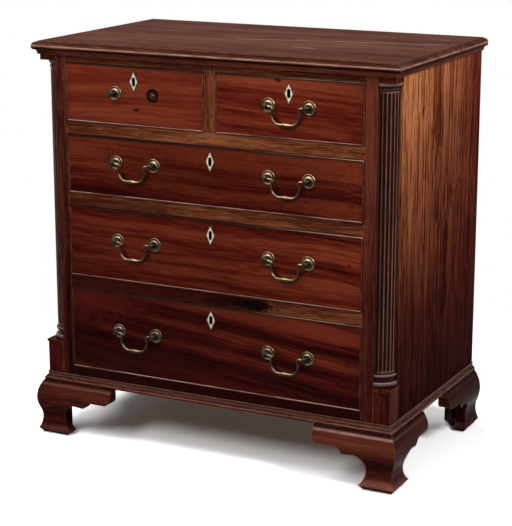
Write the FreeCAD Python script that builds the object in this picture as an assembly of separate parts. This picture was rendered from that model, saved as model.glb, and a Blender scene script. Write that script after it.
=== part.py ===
import FreeCAD, Part
import math
import os

from FreeCAD import Vector

# A mahogany chest of drawers: two short drawers over three long ones, fluted quarter columns in the
# front corners and ogee bracket feet. Millimetres, +Z up, the front faces -Y, and the origin is on
# the floor at the middle of the chest.

# Case
CASE_WIDTH = 760.0
CASE_DEPTH = 450.0
FOOT_HEIGHT = 114.0
SIDE_THICKNESS = 18.0
BOTTOM_THICKNESS = 16.0
BACK_THICKNESS = 10.0
BACK_REBATE = 9.0
BACK_BOARDS = 4
BACK_BOARD_GAP = 0.6
HOUSING_DEPTH = 6.0

# Front openings and the rails around them
STILE_WIDTH = 23.0
SHORT_OPENING = 118.0
UPPER_OPENING = 119.5
MIDDLE_OPENING = 145.5
LOWER_OPENING = 169.5
RAIL_HEIGHT = 24.5
TOP_RAIL_HEIGHT = 20.5
BOTTOM_RAIL_HEIGHT = 35.5
DIVIDER_WIDTH = 23.0
TENON_LENGTH = 12.0
TENON_SHOULDER = 6.0

# Corner notch, its column and the blocks above and below it
NOTCH = 36.0
PLINTH_HEIGHT = 86.0
PLINTH_CAP_HEIGHT = 5.0
PLINTH_CAP_LIP = 2.0
COLUMN_RADIUS = 29.5
BASE_TORUS_HEIGHT = 10.0
BASE_SCOTIA_HEIGHT = 8.4
BASE_ASTRAGAL_HEIGHT = 6.8
BASE_FILLET_HEIGHT = 2.8
BASE_STEP = 1.8
CAPITAL_BEAD_HEIGHT = 5.4
CAPITAL_NECK_HEIGHT = 2.6
CAPITAL_OVOLO_HEIGHT = 6.0
CAPITAL_FILLET_HEIGHT = 2.0
CAPITAL_BEAD_OUT = 2.0
CAPITAL_OVOLO_OUT = 4.0
FLUTES = 6
FLUTE_RADIUS = 2.8
FLUTE_MARGIN = 3.0
FLUTE_SIDES = 6
COLUMN_SIDES = 6
SWELL_STEPS = 3

# Top board and mouldings
TOP_THICKNESS = 17.0
TOP_OVERHANG = 13.0
TOP_FILLET = 1.5
TOP_FILLET_OUT = 3.0
TOP_NOSE_DROP = 9.5
TOP_NOSE_UNDERCUT = 3.5
BED_HEIGHT = 9.0
BED_OUT = 7.5
BED_FOOT_OUT = 4.0
BED_FILLET = 2.0
BASE_MOULD_HEIGHT = 17.0
BASE_MOULD_OUT = 7.5
BASE_BEAD_HEIGHT = 6.5
BASE_COVE_TOP = 1.5
BASE_MOULD_FILLET = 1.5
BASE_MOULD_STEP = 1.2

# Ogee bracket feet
FOOT_BULGE = 20.0
FOOT_BULGE_HEIGHT = 79.0
FOOT_TURN_OUT = 14.6
FOOT_TURN_HEIGHT = 52.0
FOOT_WAIST_OUT = 11.5
FOOT_WAIST_HEIGHT = 36.0
FOOT_TOE_OUT = 18.4
FOOT_TOE_HEIGHT = 9.4
FOOT_TOE_BEVEL = 7.8
BRACKET_INSET = 8.0
WING_LENGTH = 154.0
WING_DROP = 34.0
WING_END_RADIUS = 13.0
CUSP_FROM_CORNER = 91.0
CUSP_HEIGHT = 66.0
CUSP_SHOULDER = 17.0
ARCH_RADIUS = 26.5
ANKLE_WIDTH = 42.5
ANKLE_HEIGHT = 41.5
TOE_FLARE = 13.5
REAR_BRACKET_LENGTH = 132.0
REAR_BRACKET_THICKNESS = 20.0
REAR_BRACKET_END = 18.0
GLUE_BLOCK = 30.0
GLUE_BLOCK_LIFT = 2.0
GLUE_STRIP = 16.0
GLUE_STRIP_LENGTH = 90.0

# Drawer carriage inside the case
RUNNER_WIDTH = 60.0
MIDDLE_RUNNER_WIDTH = 80.0
GUIDE_HEIGHT = 18.0
DUSTBOARD_THICKNESS = 8.0
STOP_HEIGHT = 5.0
STOP_DEPTH = 20.0
STOP_LENGTH = 34.0
STOP_INSET = 60.0
STOP_GAP = 0.2

# Drawers
DRAWER_REAR_GAP = 25.0
DRAWER_SIDE_GAP = 1.0
DRAWER_TOP_GAP = 1.3
DRAWER_RUN_GAP = 0.2
DRAWER_FRONT_THICKNESS = 22.0
DRAWER_SIDE_THICKNESS = 10.0
DRAWER_BACK_THICKNESS = 10.0
DRAWER_SIDE_DROP = 3.0
DRAWER_BOTTOM_THICKNESS = 7.0
DRAWER_BOTTOM_RAISE = 8.0
DRAWER_GROOVE = 5.0
DOVETAIL_LAP = 6.0
DOVETAIL_PITCH = 55.0
DOVETAIL_NECK = 22.0
DOVETAIL_SLOPE = 0.16
BEAD_THICKNESS = 3.2
BEAD_REBATE = 5.0
BEAD_PROUD = 2.0

# Keyhole, escutcheon and lock
ESCUTCHEON_WIDTH = 19.0
ESCUTCHEON_HEIGHT = 40.0
ESCUTCHEON_THICKNESS = 2.5
ESCUTCHEON_DROP = 31.0
KEYHOLE_RADIUS = 3.6
KEYHOLE_HEIGHT = 18.0
KEYHOLE_END_STEPS = 4
KEY_WAY = 1.0
LOCK_WIDTH = 60.0
LOCK_HEIGHT = 52.0
LOCK_THICKNESS = 9.0
BOLT_WIDTH = 22.0
BOLT_THICKNESS = 4.6
BOLT_LENGTH = 16.0
BOLT_CLEARANCE = 0.3
BOLT_THROW = 8.0
BOLT_MORTISE_ROOM = 1.5

# Handles
HANDLE_FROM_SIDE = 154.5
POST_SPACING = 84.0
SHORT_HANDLE_DROP = 55.5
UPPER_HANDLE_DROP = 50.0
MIDDLE_HANDLE_DROP = 63.5
LOWER_HANDLE_DROP = 80.0
ROSE_RADIUS = 14.0
ROSE_RIM = 1.4
ROSE_RISE = 3.6
ROSE_BOSS_RADIUS = 7.0
ROSE_SIDES = 9
POST_RADIUS = 3.4
POST_SIDES = 8
PULL_OUT = 14.5
POST_HEAD_RADIUS = 6.6
POST_HEAD_HALF = 5.4
POST_HEAD_FLAT = 2.8
NUT_SIZE = 11.0
NUT_THICKNESS = 4.0
STUB_PROUD = 2.5
PEG_CLEARANCE = 0.5
PEG_PAST_POST = 2.0
ROD_RADIUS = 2.7
BAIL_DROP = 33.0
BAIL_NECK_HALF = 26.0
BAIL_FOOT_HALF = 34.0
BAIL_NECK_RADIUS = 5.0
BAIL_FOOT_RADIUS = 15.0
BAIL_NECK_STEPS = 2
BAIL_FOOT_STEPS = 3
BAIL_SWELL_RADIUS = 4.1
BAIL_SWELL_HALF = 14.0
BAIL_SIDES = 8

# Places that follow from the sizes above
HALF = CASE_WIDTH / 2
FRONT = (FOOT_BULGE - CASE_DEPTH) / 2
BACK = FRONT + CASE_DEPTH
INNER_HALF = HALF - SIDE_THICKNESS
OPENING_HALF = HALF - NOTCH - STILE_WIDTH
FRAME_DEPTH = NOTCH + SIDE_THICKNESS
FRAME_BACK = FRONT + FRAME_DEPTH
CASE_BACK = BACK - BACK_THICKNESS
DRAWER_REAR = CASE_BACK - DRAWER_REAR_GAP
LOWER_SILL = FOOT_HEIGHT + BOTTOM_RAIL_HEIGHT
MIDDLE_SILL = LOWER_SILL + LOWER_OPENING + RAIL_HEIGHT
UPPER_SILL = MIDDLE_SILL + MIDDLE_OPENING + RAIL_HEIGHT
SHORT_SILL = UPPER_SILL + UPPER_OPENING + RAIL_HEIGHT
SHORT_HEAD = SHORT_SILL + SHORT_OPENING
CASE_TOP = SHORT_HEAD + TOP_RAIL_HEIGHT
HEIGHT = CASE_TOP + TOP_THICKNESS
COLUMN_X = HALF - NOTCH
COLUMN_Y = FRONT + NOTCH
PLINTH_TOP = FOOT_HEIGHT + PLINTH_HEIGHT
COLUMN_BASE_TOP = (
    PLINTH_TOP + BASE_TORUS_HEIGHT + BASE_SCOTIA_HEIGHT + BASE_ASTRAGAL_HEIGHT + BASE_FILLET_HEIGHT
)
CAPITAL_FOOT = SHORT_HEAD - (
    CAPITAL_BEAD_HEIGHT + CAPITAL_NECK_HEIGHT + CAPITAL_OVOLO_HEIGHT + CAPITAL_FILLET_HEIGHT
)
RUNNER_INNER = INNER_HALF - RUNNER_WIDTH
BEYOND = NOTCH + FOOT_BULGE
RAIL_SILLS = [MIDDLE_SILL, UPPER_SILL, SHORT_SILL]


class Drawer:
    """One drawer's opening, from side to side and from sill to head, and its fittings."""

    def __init__(self, name, left, right, sill, opening, handle_drop, pulls):
        self.name = name
        self.left = left + DRAWER_SIDE_GAP
        self.right = right - DRAWER_SIDE_GAP
        self.low = sill + DRAWER_RUN_GAP
        self.head = sill + opening
        self.high = self.head - DRAWER_TOP_GAP
        self.sill = sill
        self.middle = (left + right) / 2
        self.handle_z = self.head - handle_drop
        self.keyhole_z = self.head - ESCUTCHEON_DROP
        self.pulls = pulls


LONG_PULLS = {"left": HANDLE_FROM_SIDE - OPENING_HALF, "right": OPENING_HALF - HANDLE_FROM_SIDE}
DIVIDER_HALF = DIVIDER_WIDTH / 2
SHORT_MIDDLE = (OPENING_HALF + DIVIDER_HALF) / 2
SHORT_LEFT = Drawer(
    "short_left", -OPENING_HALF, -DIVIDER_HALF, SHORT_SILL, SHORT_OPENING, SHORT_HANDLE_DROP, {}
)
SHORT_RIGHT = Drawer(
    "short_right", DIVIDER_HALF, OPENING_HALF, SHORT_SILL, SHORT_OPENING, SHORT_HANDLE_DROP,
    {"": SHORT_MIDDLE},
)
UPPER = Drawer(
    "upper", -OPENING_HALF, OPENING_HALF, UPPER_SILL, UPPER_OPENING, UPPER_HANDLE_DROP, LONG_PULLS
)
MIDDLE = Drawer(
    "middle", -OPENING_HALF, OPENING_HALF, MIDDLE_SILL, MIDDLE_OPENING, MIDDLE_HANDLE_DROP, LONG_PULLS
)
LOWER = Drawer(
    "lower", -OPENING_HALF, OPENING_HALF, LOWER_SILL, LOWER_OPENING, LOWER_HANDLE_DROP, LONG_PULLS
)
DRAWERS = [SHORT_LEFT, SHORT_RIGHT, UPPER, MIDDLE, LOWER]


def box(x, y, z):
    """A block between low and high on each axis."""
    return Part.makeBox(x[1] - x[0], y[1] - y[0], z[1] - z[0], Vector(x[0], y[0], z[0]))


def flat_face(runs, place):
    """A face from (u, v) corners and (via u, via v, u, v) arcs; place turns u, v into a point."""
    at = place(*runs[0])
    edges = []
    for run in runs[1:] + runs[:1]:
        end = place(*run[-2:])
        if len(run) == 4:
            edges.append(Part.Arc(at, place(*run[:2]), end).toShape())
        else:
            edges.append(Part.LineSegment(at, end).toShape())
        at = end
    return Part.Face(Part.Wire(edges))


def plan_prism(corners, low, high):
    """An upright prism on (x, y) corners."""
    face = flat_face(corners, lambda x, y: Vector(x, y, low))
    return face.extrude(Vector(0, 0, high - low))


def arc_via(start, end, centre):
    """The middle point of the round stretch from start to end about a centre."""
    radius = math.dist(start, centre)
    half = [(a + b) / 2 - c for a, b, c in zip(start, end, centre)]
    length = math.hypot(*half)
    return [c + h * radius / length for c, h in zip(centre, half)]


def quarter_via(start, end, centre):
    """The middle point of a quarter round that may be wider than it is high."""
    return [c + (a + b - 2 * c) * math.sqrt(0.5) for a, b, c in zip(start, end, centre)]


def turned(section, sides, degrees, place):
    """A turned solid in flat facets: (radius, along) corners carried round an axis in equal steps.

    place turns a radius, a distance along the axis and an angle into a point.
    """
    stops = [math.radians(degrees) * i / sides for i in range(sides + 1)]
    rings = [[place(radius, along, stop) for radius, along in section] for stop in stops]
    if degrees == 360:
        rings[-1] = rings[0]
        faces = []
    else:
        faces = [Part.Face(Part.makePolygon(ring + ring[:1])) for ring in (rings[0], rings[-1])]
    for ring, following in zip(rings, rings[1:]):
        for j in range(len(section)):
            k = (j + 1) % len(section)
            corners = [ring[k], following[k]] if section[k][0] else [ring[k]]
            corners += [following[j], ring[j]] if section[j][0] else [ring[j]]
            if len(corners) > 2:
                faces.append(Part.Face(Part.makePolygon(corners + corners[:1])))
    solid = Part.makeSolid(Part.makeShell(faces))
    if solid.Volume < 0:
        solid.reverse()
    return solid.removeSplitter()


def upright(x, y):
    """Places a turned section about an upright axis, from the front round to the right."""
    return lambda radius, z, turn: Vector(x + radius * math.sin(turn), y - radius * math.cos(turn), z)


def outward(x, z):
    """Places a turned section about an axis square to the drawer fronts."""
    return lambda radius, out, turn: Vector(
        x + radius * math.cos(turn), FRONT - out, z + radius * math.sin(turn)
    )


def crosswise(x, y, z):
    """Places a turned section about an axis along the width."""
    return lambda radius, along, turn: Vector(
        x + along, y + radius * math.cos(turn), z + radius * math.sin(turn)
    )


def swell(radius, low, high, bulge):
    """Points of a round bead, or of a hollow where bulge is negative, between two heights."""
    points = []
    for i in range(SWELL_STEPS + 1):
        turn = math.pi * i / SWELL_STEPS
        points.append((radius + bulge * math.sin(turn), low + (high - low) * (1 - math.cos(turn)) / 2))
    return points


def mirrored(shape):
    return shape.mirror(Vector(0, 0, 0), Vector(1, 0, 0))


def both_sides(shape):
    return [shape, mirrored(shape)]


# Wedges that meet on the mitre lines at the front corners
FRONT_WEDGE = plan_prism(
    [
        (-HALF + BEYOND, FRONT + BEYOND),
        (HALF - BEYOND, FRONT + BEYOND),
        (HALF + BEYOND, FRONT - BEYOND),
        (-HALF - BEYOND, FRONT - BEYOND),
    ],
    0,
    HEIGHT,
)
RIGHT_WEDGE = plan_prism(
    [
        (HALF - BEYOND, FRONT + BEYOND),
        (HALF + BEYOND, FRONT - BEYOND),
        (HALF + BEYOND, BACK),
        (HALF - BEYOND, BACK),
    ],
    0,
    HEIGHT,
)


def mitred_moulding(runs):
    """A moulding along the front and both sides from its (out, z) section, mitred at the corners."""
    front_face = flat_face(runs, lambda out, z: Vector(-HALF - BEYOND, FRONT - out, z))
    front = front_face.extrude(Vector(2 * (HALF + BEYOND), 0, 0)).common(FRONT_WEDGE)
    right_face = flat_face(runs, lambda out, z: Vector(HALF + out, FRONT - BEYOND, z))
    right = right_face.extrude(Vector(0, CASE_DEPTH + BEYOND, 0)).common(RIGHT_WEDGE)
    return [front] + both_sides(right)


def top_board():
    """The top, flush at the back, its other edges cut to a fillet, an ovolo and a rounded nose."""
    reach = HALF + TOP_OVERHANG
    board = box((-reach, reach), (FRONT - TOP_OVERHANG, BACK), (CASE_TOP, HEIGHT))
    ledge = HEIGHT - TOP_FILLET
    nose = HEIGHT - TOP_NOSE_DROP
    under = TOP_OVERHANG - TOP_NOSE_UNDERCUT
    start = (TOP_FILLET_OUT + TOP_FILLET, ledge)
    tip = (TOP_OVERHANG, nose)
    foot = (under, CASE_TOP)
    ovolo_via = quarter_via(start, tip, (start[0], nose))
    nose_via = quarter_via(tip, foot, (under, nose))
    waste = [
        (TOP_FILLET_OUT, HEIGHT + BEYOND),
        (TOP_FILLET_OUT, ledge),
        start,
        (*ovolo_via, *tip),
        (*nose_via, *foot),
        (under, CASE_TOP - BEYOND),
        (TOP_OVERHANG + BEYOND, CASE_TOP - BEYOND),
        (TOP_OVERHANG + BEYOND, HEIGHT + BEYOND),
    ]
    front_face = flat_face(waste, lambda out, z: Vector(-HALF - BEYOND, FRONT - out, z))
    front = front_face.extrude(Vector(2 * (HALF + BEYOND), 0, 0))
    right_face = flat_face(waste, lambda out, z: Vector(HALF + out, FRONT - BEYOND, z))
    right = right_face.extrude(Vector(0, CASE_DEPTH + 2 * BEYOND, 0))
    return board.cut([front] + both_sides(right))


def bed_moulding():
    """The small cove under the top."""
    low = CASE_TOP - BED_HEIGHT
    lip = low + BED_FILLET
    start = (BED_FOOT_OUT, lip)
    end = (BED_OUT, CASE_TOP)
    via = arc_via(start, end, (BED_OUT + BED_FOOT_OUT, lip))
    return mitred_moulding([(0, low), (BED_FOOT_OUT, low), start, (*via, *end), (0, CASE_TOP)])


def base_moulding():
    """A lip, a cove, a fillet and a bead, along the foot of the case."""
    bead_top = FOOT_HEIGHT + BASE_BEAD_HEIGHT
    fillet_top = bead_top + BASE_MOULD_FILLET
    top = FOOT_HEIGHT + BASE_MOULD_HEIGHT
    cove_top = top - BASE_MOULD_FILLET
    lip = BASE_COVE_TOP + BASE_MOULD_STEP
    shy = BASE_MOULD_OUT - BASE_COVE_TOP
    cove_foot = (shy - BASE_MOULD_STEP, fillet_top)
    cove_head = (BASE_COVE_TOP, cove_top)
    cove = quarter_via(cove_foot, cove_head, (cove_foot[0], cove_top))
    return mitred_moulding(
        [
            (0, FOOT_HEIGHT),
            (shy, FOOT_HEIGHT),
            (BASE_MOULD_OUT, FOOT_HEIGHT + BASE_BEAD_HEIGHT / 2, shy, bead_top),
            (cove_foot[0], bead_top),
            cove_foot,
            (*cove, *cove_head),
            (lip, cove_top),
            (lip, top),
            (0, top),
        ]
    )


def case_bottom():
    reach = INNER_HALF + HOUSING_DEPTH
    return box((-reach, reach), (FRAME_BACK, CASE_BACK), (FOOT_HEIGHT, FOOT_HEIGHT + BOTTOM_THICKNESS))


def side_right(bottom):
    """A side from the corner notch to the back, rebated for the back boards and the bottom."""
    board = box((INNER_HALF, HALF), (COLUMN_Y, BACK), (FOOT_HEIGHT, CASE_TOP))
    rebate = box((INNER_HALF, INNER_HALF + BACK_REBATE), (CASE_BACK, BACK), (FOOT_HEIGHT, CASE_TOP))
    return board.cut([rebate, bottom])


def back_boards():
    """Upright boards nailed into the rebates, with a shrinkage gap between neighbours."""
    reach = INNER_HALF + BACK_REBATE
    pitch = 2 * reach / BACK_BOARDS
    shy = BACK_BOARD_GAP / 2
    boards = []
    for i in range(BACK_BOARDS):
        left = -reach + i * pitch + (shy if i > 0 else 0)
        right = -reach + (i + 1) * pitch - (shy if i < BACK_BOARDS - 1 else 0)
        boards.append(box((left, right), (CASE_BACK, BACK), (FOOT_HEIGHT, CASE_TOP)))
    return boards


def rail(low, high):
    """A front rail with a tenon at each end."""
    body = box((-OPENING_HALF, OPENING_HALF), (FRONT, FRAME_BACK), (low, high))
    reach = OPENING_HALF + TENON_LENGTH
    tenon = box(
        (-reach, reach),
        (FRONT + TENON_SHOULDER, FRAME_BACK - TENON_SHOULDER),
        (low + TENON_SHOULDER, high - TENON_SHOULDER),
    )
    return body.fuse(tenon).removeSplitter()


def divider():
    """The upright between the short drawers, tenoned into the rails above and below."""
    post = box((-DIVIDER_HALF, DIVIDER_HALF), (FRONT, FRAME_BACK), (SHORT_SILL, SHORT_HEAD))
    half = DIVIDER_HALF - TENON_SHOULDER
    tenon = box(
        (-half, half),
        (FRONT + TENON_SHOULDER, FRAME_BACK - TENON_SHOULDER),
        (SHORT_SILL - TENON_LENGTH, SHORT_HEAD + TENON_LENGTH),
    )
    return post.fuse(tenon).removeSplitter()


def bolt_mortise(drawer):
    """The hole over a lock that takes its bolt."""
    half = BOLT_WIDTH / 2 + BOLT_MORTISE_ROOM
    bolt_y = lock_middle_y()
    deep = BOLT_THICKNESS / 2 + BOLT_MORTISE_ROOM
    return box(
        (drawer.middle - half, drawer.middle + half),
        (bolt_y - deep, bolt_y + deep),
        (drawer.head, drawer.high + BOLT_THROW + BOLT_MORTISE_ROOM),
    )


def front_rails(dustboards):
    """Top, between and bottom rails and the divider, cut for the dustboards and the lock bolts."""
    between = divider()
    rails = [rail(FOOT_HEIGHT, LOWER_SILL), rail(SHORT_HEAD, CASE_TOP)]
    rails += [rail(sill - RAIL_HEIGHT, sill) for sill in RAIL_SILLS]
    tools = dustboards + [between] + [bolt_mortise(drawer) for drawer in DRAWERS]
    return [one.cut(tools) for one in rails] + [between]


def corner_post_right(rails):
    """The stile beside the drawers and its return behind the column, mortised for the rails."""
    post = plan_prism(
        [
            (OPENING_HALF, FRONT),
            (COLUMN_X, FRONT),
            (COLUMN_X, COLUMN_Y),
            (INNER_HALF, COLUMN_Y),
            (INNER_HALF, FRAME_BACK),
            (OPENING_HALF, FRAME_BACK),
        ],
        FOOT_HEIGHT,
        CASE_TOP,
    )
    return post.cut(rails)


def corner_blocks_right():
    """The plinth with its thin cap, and the plain block above the capital."""
    plinth = box((COLUMN_X, HALF), (FRONT, COLUMN_Y), (FOOT_HEIGHT, PLINTH_TOP))
    cap = box(
        (COLUMN_X, HALF + PLINTH_CAP_LIP),
        (FRONT - PLINTH_CAP_LIP, COLUMN_Y),
        (PLINTH_TOP - PLINTH_CAP_HEIGHT, PLINTH_TOP),
    )
    upper = box((COLUMN_X, HALF), (FRONT, COLUMN_Y), (SHORT_HEAD, CASE_TOP))
    return [plinth.fuse(cap).removeSplitter(), upper]


def quarter_turned(section):
    """A quarter of a turned piece from its (radius, z) section, standing in the corner notch."""
    return turned(section, COLUMN_SIDES, 90, upright(COLUMN_X, COLUMN_Y))


def column_base():
    """A torus, a scotia and an astragal under the shaft."""
    neck = COLUMN_RADIUS + BASE_STEP
    torus_high = PLINTH_TOP + BASE_TORUS_HEIGHT
    scotia_high = torus_high + BASE_SCOTIA_HEIGHT
    bead_high = scotia_high + BASE_ASTRAGAL_HEIGHT
    section = [(0, PLINTH_TOP)]
    section += swell(neck + BASE_STEP, PLINTH_TOP, torus_high, BASE_STEP)
    section += swell(neck, torus_high, scotia_high, -BASE_STEP)
    section += swell(neck, scotia_high, bead_high, BASE_STEP)[1:]
    section += [(COLUMN_RADIUS, bead_high), (COLUMN_RADIUS, COLUMN_BASE_TOP), (0, COLUMN_BASE_TOP)]
    return quarter_turned(section)


def column_capital():
    """An astragal, a neck and an ovolo over the shaft."""
    bead_high = CAPITAL_FOOT + CAPITAL_BEAD_HEIGHT
    ovolo_low = bead_high + CAPITAL_NECK_HEIGHT
    ovolo_high = ovolo_low + CAPITAL_OVOLO_HEIGHT
    wide = COLUMN_RADIUS + CAPITAL_OVOLO_OUT
    ovolo = quarter_via((wide, ovolo_high), (COLUMN_RADIUS, ovolo_low), (COLUMN_RADIUS, ovolo_high))
    section = [(0, CAPITAL_FOOT)]
    section += swell(COLUMN_RADIUS, CAPITAL_FOOT, bead_high, CAPITAL_BEAD_OUT)
    section += [(COLUMN_RADIUS, ovolo_low), ovolo, (wide, ovolo_high), (wide, SHORT_HEAD), (0, SHORT_HEAD)]
    return quarter_turned(section)


def column_shaft():
    """The fluted shaft, each flute running out to a point at both ends."""
    low, high = COLUMN_BASE_TOP, CAPITAL_FOOT
    shaft = quarter_turned([(0, low), (COLUMN_RADIUS, low), (COLUMN_RADIUS, high), (0, high)])
    groove = [
        (0, low + FLUTE_MARGIN),
        (FLUTE_RADIUS, low + FLUTE_MARGIN + FLUTE_RADIUS),
        (FLUTE_RADIUS, high - FLUTE_MARGIN - FLUTE_RADIUS),
        (0, high - FLUTE_MARGIN),
    ]
    around = upright(COLUMN_X, COLUMN_Y)
    flutes = []
    for i in range(FLUTES):
        middle = around(COLUMN_RADIUS, 0, math.radians(90) * (i + 0.5) / FLUTES)
        flutes.append(turned(groove, FLUTE_SIDES, 360, upright(middle.x, middle.y)))
    return shaft.cut(flutes)


def column_right():
    return [column_base(), column_shaft(), column_capital()]


OGEE = [
    (-BRACKET_INSET, FOOT_HEIGHT),
    (BASE_MOULD_OUT, FOOT_HEIGHT),
    (FOOT_BULGE, FOOT_BULGE_HEIGHT, FOOT_TURN_OUT, FOOT_TURN_HEIGHT),
    (FOOT_WAIST_OUT, FOOT_WAIST_HEIGHT, FOOT_TOE_OUT, FOOT_TOE_HEIGHT),
    (FOOT_TOE_OUT - FOOT_TOE_BEVEL, 0),
    (-BRACKET_INSET, 0),
]


def bracket_outline():
    """A bracket's (along, z) outline: its wing, the cusp, the arch and the toe."""
    wing_low = FOOT_HEIGHT - WING_DROP
    wing_in = WING_LENGTH - WING_END_RADIUS
    round_start = (WING_LENGTH, wing_low + WING_END_RADIUS)
    round_end = (wing_in, wing_low)
    wing_via = arc_via(round_start, round_end, (wing_in, wing_low + WING_END_RADIUS))
    shoulder = (CUSP_FROM_CORNER + CUSP_SHOULDER, wing_low)
    cusp = (CUSP_FROM_CORNER, CUSP_HEIGHT)
    shoulder_via = arc_via(shoulder, cusp, (shoulder[0], wing_low - CUSP_SHOULDER))
    arch_start = (ANKLE_WIDTH + ARCH_RADIUS, ANKLE_HEIGHT + ARCH_RADIUS)
    ankle = (ANKLE_WIDTH, ANKLE_HEIGHT)
    arch_via = arc_via(arch_start, ankle, (arch_start[0], ANKLE_HEIGHT))
    toe = (ANKLE_WIDTH + TOE_FLARE, FOOT_TOE_HEIGHT)
    toe_via = arc_via(ankle, toe, (toe[0] + ANKLE_HEIGHT, ANKLE_HEIGHT))
    return [
        (-BEYOND, FOOT_HEIGHT),
        (WING_LENGTH, FOOT_HEIGHT),
        round_start,
        (*wing_via, *round_end),
        shoulder,
        (*shoulder_via, *cusp),
        arch_start,
        (*arch_via, *ankle),
        (*toe_via, *toe),
        (toe[0] - FOOT_TOE_BEVEL, 0),
        (-BEYOND, 0),
    ]


def glue_block(x, y, x_way, y_way):
    """An upright block in the corner of two brackets, its inner corner cut off."""
    size = GLUE_BLOCK
    corners = [(0, 0), (size, 0), (size, size / 2), (size / 2, size), (0, size)]
    places = [(x + u * x_way, y + v * y_way) for u, v in corners]
    return plan_prism(places, GLUE_BLOCK_LIFT, FOOT_HEIGHT)


def front_foot_right():
    """Two ogee brackets mitred at the corner, with their glue blocks."""
    reach = WING_LENGTH + BEYOND
    section = flat_face(OGEE, lambda out, z: Vector(HALF - reach, FRONT - out, z))
    stock = section.extrude(Vector(reach + BEYOND, 0, 0)).common(FRONT_WEDGE)
    outline = flat_face(bracket_outline(), lambda along, z: Vector(HALF - along, FRONT - BEYOND, z))
    front = stock.common(outline.extrude(Vector(0, 2 * BEYOND, 0)))
    side = front.mirror(Vector(HALF, FRONT, 0), Vector(1, 1, 0))
    inner_x = HALF - BRACKET_INSET
    inner_y = FRONT + BRACKET_INSET
    corner = glue_block(inner_x, inner_y, -1, 1)
    strip_end = inner_x - GLUE_BLOCK
    strip = box(
        (strip_end - GLUE_STRIP_LENGTH, strip_end),
        (inner_y, inner_y + GLUE_STRIP),
        (FOOT_HEIGHT - GLUE_STRIP, FOOT_HEIGHT),
    )
    side_strip = strip.mirror(Vector(HALF, FRONT, 0), Vector(1, 1, 0))
    return [front, side, corner, strip, side_strip]


def rear_foot_right():
    """An ogee side bracket that stops at the back, and a plain bracket behind it."""
    reach = WING_LENGTH + FOOT_BULGE
    section = flat_face(OGEE, lambda out, z: Vector(HALF + out, BACK - reach, z))
    stock = section.extrude(Vector(0, reach, 0))
    outline = flat_face(
        bracket_outline(), lambda along, z: Vector(HALF - BEYOND, BACK - FOOT_BULGE - along, z)
    )
    side = stock.common(outline.extrude(Vector(2 * BEYOND, 0, 0)))
    inner_x = HALF - BRACKET_INSET
    inner_y = BACK - REAR_BRACKET_THICKNESS
    slope = [
        (0, 0),
        (ANKLE_WIDTH, 0),
        (ANKLE_WIDTH, FOOT_WAIST_HEIGHT),
        (REAR_BRACKET_LENGTH, FOOT_HEIGHT - REAR_BRACKET_END),
        (REAR_BRACKET_LENGTH, FOOT_HEIGHT),
        (0, FOOT_HEIGHT),
    ]
    plain_face = flat_face(slope, lambda along, z: Vector(inner_x - along, inner_y, z))
    plain = plain_face.extrude(Vector(0, REAR_BRACKET_THICKNESS, 0))
    corner = glue_block(inner_x, inner_y, -1, -1)
    strip_end = inner_y - GLUE_BLOCK
    side_strip = box(
        (inner_x - GLUE_STRIP, inner_x),
        (strip_end - GLUE_STRIP_LENGTH, strip_end),
        (FOOT_HEIGHT - GLUE_STRIP, FOOT_HEIGHT),
    )
    return [side, plain, corner, side_strip]


def dustboards():
    """Thin panels in grooves between the rails and runners."""
    reach = RUNNER_INNER + HOUSING_DEPTH
    low = (RAIL_HEIGHT + DUSTBOARD_THICKNESS) / 2
    return [
        box(
            (-reach, reach),
            (FRAME_BACK - HOUSING_DEPTH, CASE_BACK),
            (sill - low, sill - low + DUSTBOARD_THICKNESS),
        )
        for sill in RAIL_SILLS
    ]


def drawer_stops(drawer):
    """Two small blocks on the rail that stop a drawer when its front is flush."""
    near = FRONT + DRAWER_FRONT_THICKNESS + STOP_GAP
    y = (near, near + STOP_DEPTH)
    z = (drawer.sill, drawer.sill + STOP_HEIGHT)
    left = drawer.left + STOP_INSET
    right = drawer.right - STOP_INSET
    return [box((left, left + STOP_LENGTH), y, z), box((right - STOP_LENGTH, right), y, z)]


def runners_and_guides(dustboards):
    """Runners level with the rails, guides beside the drawers, kickers over the short drawers."""
    y = (FRAME_BACK, CASE_BACK)
    outer = (RUNNER_INNER, INNER_HALF)
    beside = (OPENING_HALF, INNER_HALF)
    middle = (-MIDDLE_RUNNER_WIDTH / 2, MIDDLE_RUNNER_WIDTH / 2)
    floor = FOOT_HEIGHT + BOTTOM_THICKNESS
    board_top = SHORT_SILL - (RAIL_HEIGHT - DUSTBOARD_THICKNESS) / 2
    right = [box(outer, y, (floor, LOWER_SILL)), box(outer, y, (SHORT_HEAD, CASE_TOP))]
    right += [box(outer, y, (sill - RAIL_HEIGHT, sill)).cut(dustboards) for sill in RAIL_SILLS]
    right += [box(beside, y, (sill, sill + GUIDE_HEIGHT)) for sill in [LOWER_SILL] + RAIL_SILLS]
    pieces = []
    for one in right:
        pieces += both_sides(one)
    pieces.append(box(middle, y, (board_top, SHORT_SILL)))
    pieces.append(box(middle, y, (SHORT_HEAD, CASE_TOP)))
    pieces.append(box((-DIVIDER_HALF, DIVIDER_HALF), y, (SHORT_SILL, SHORT_SILL + GUIDE_HEIGHT)))
    for drawer in DRAWERS:
        pieces += drawer_stops(drawer)
    return pieces


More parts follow.
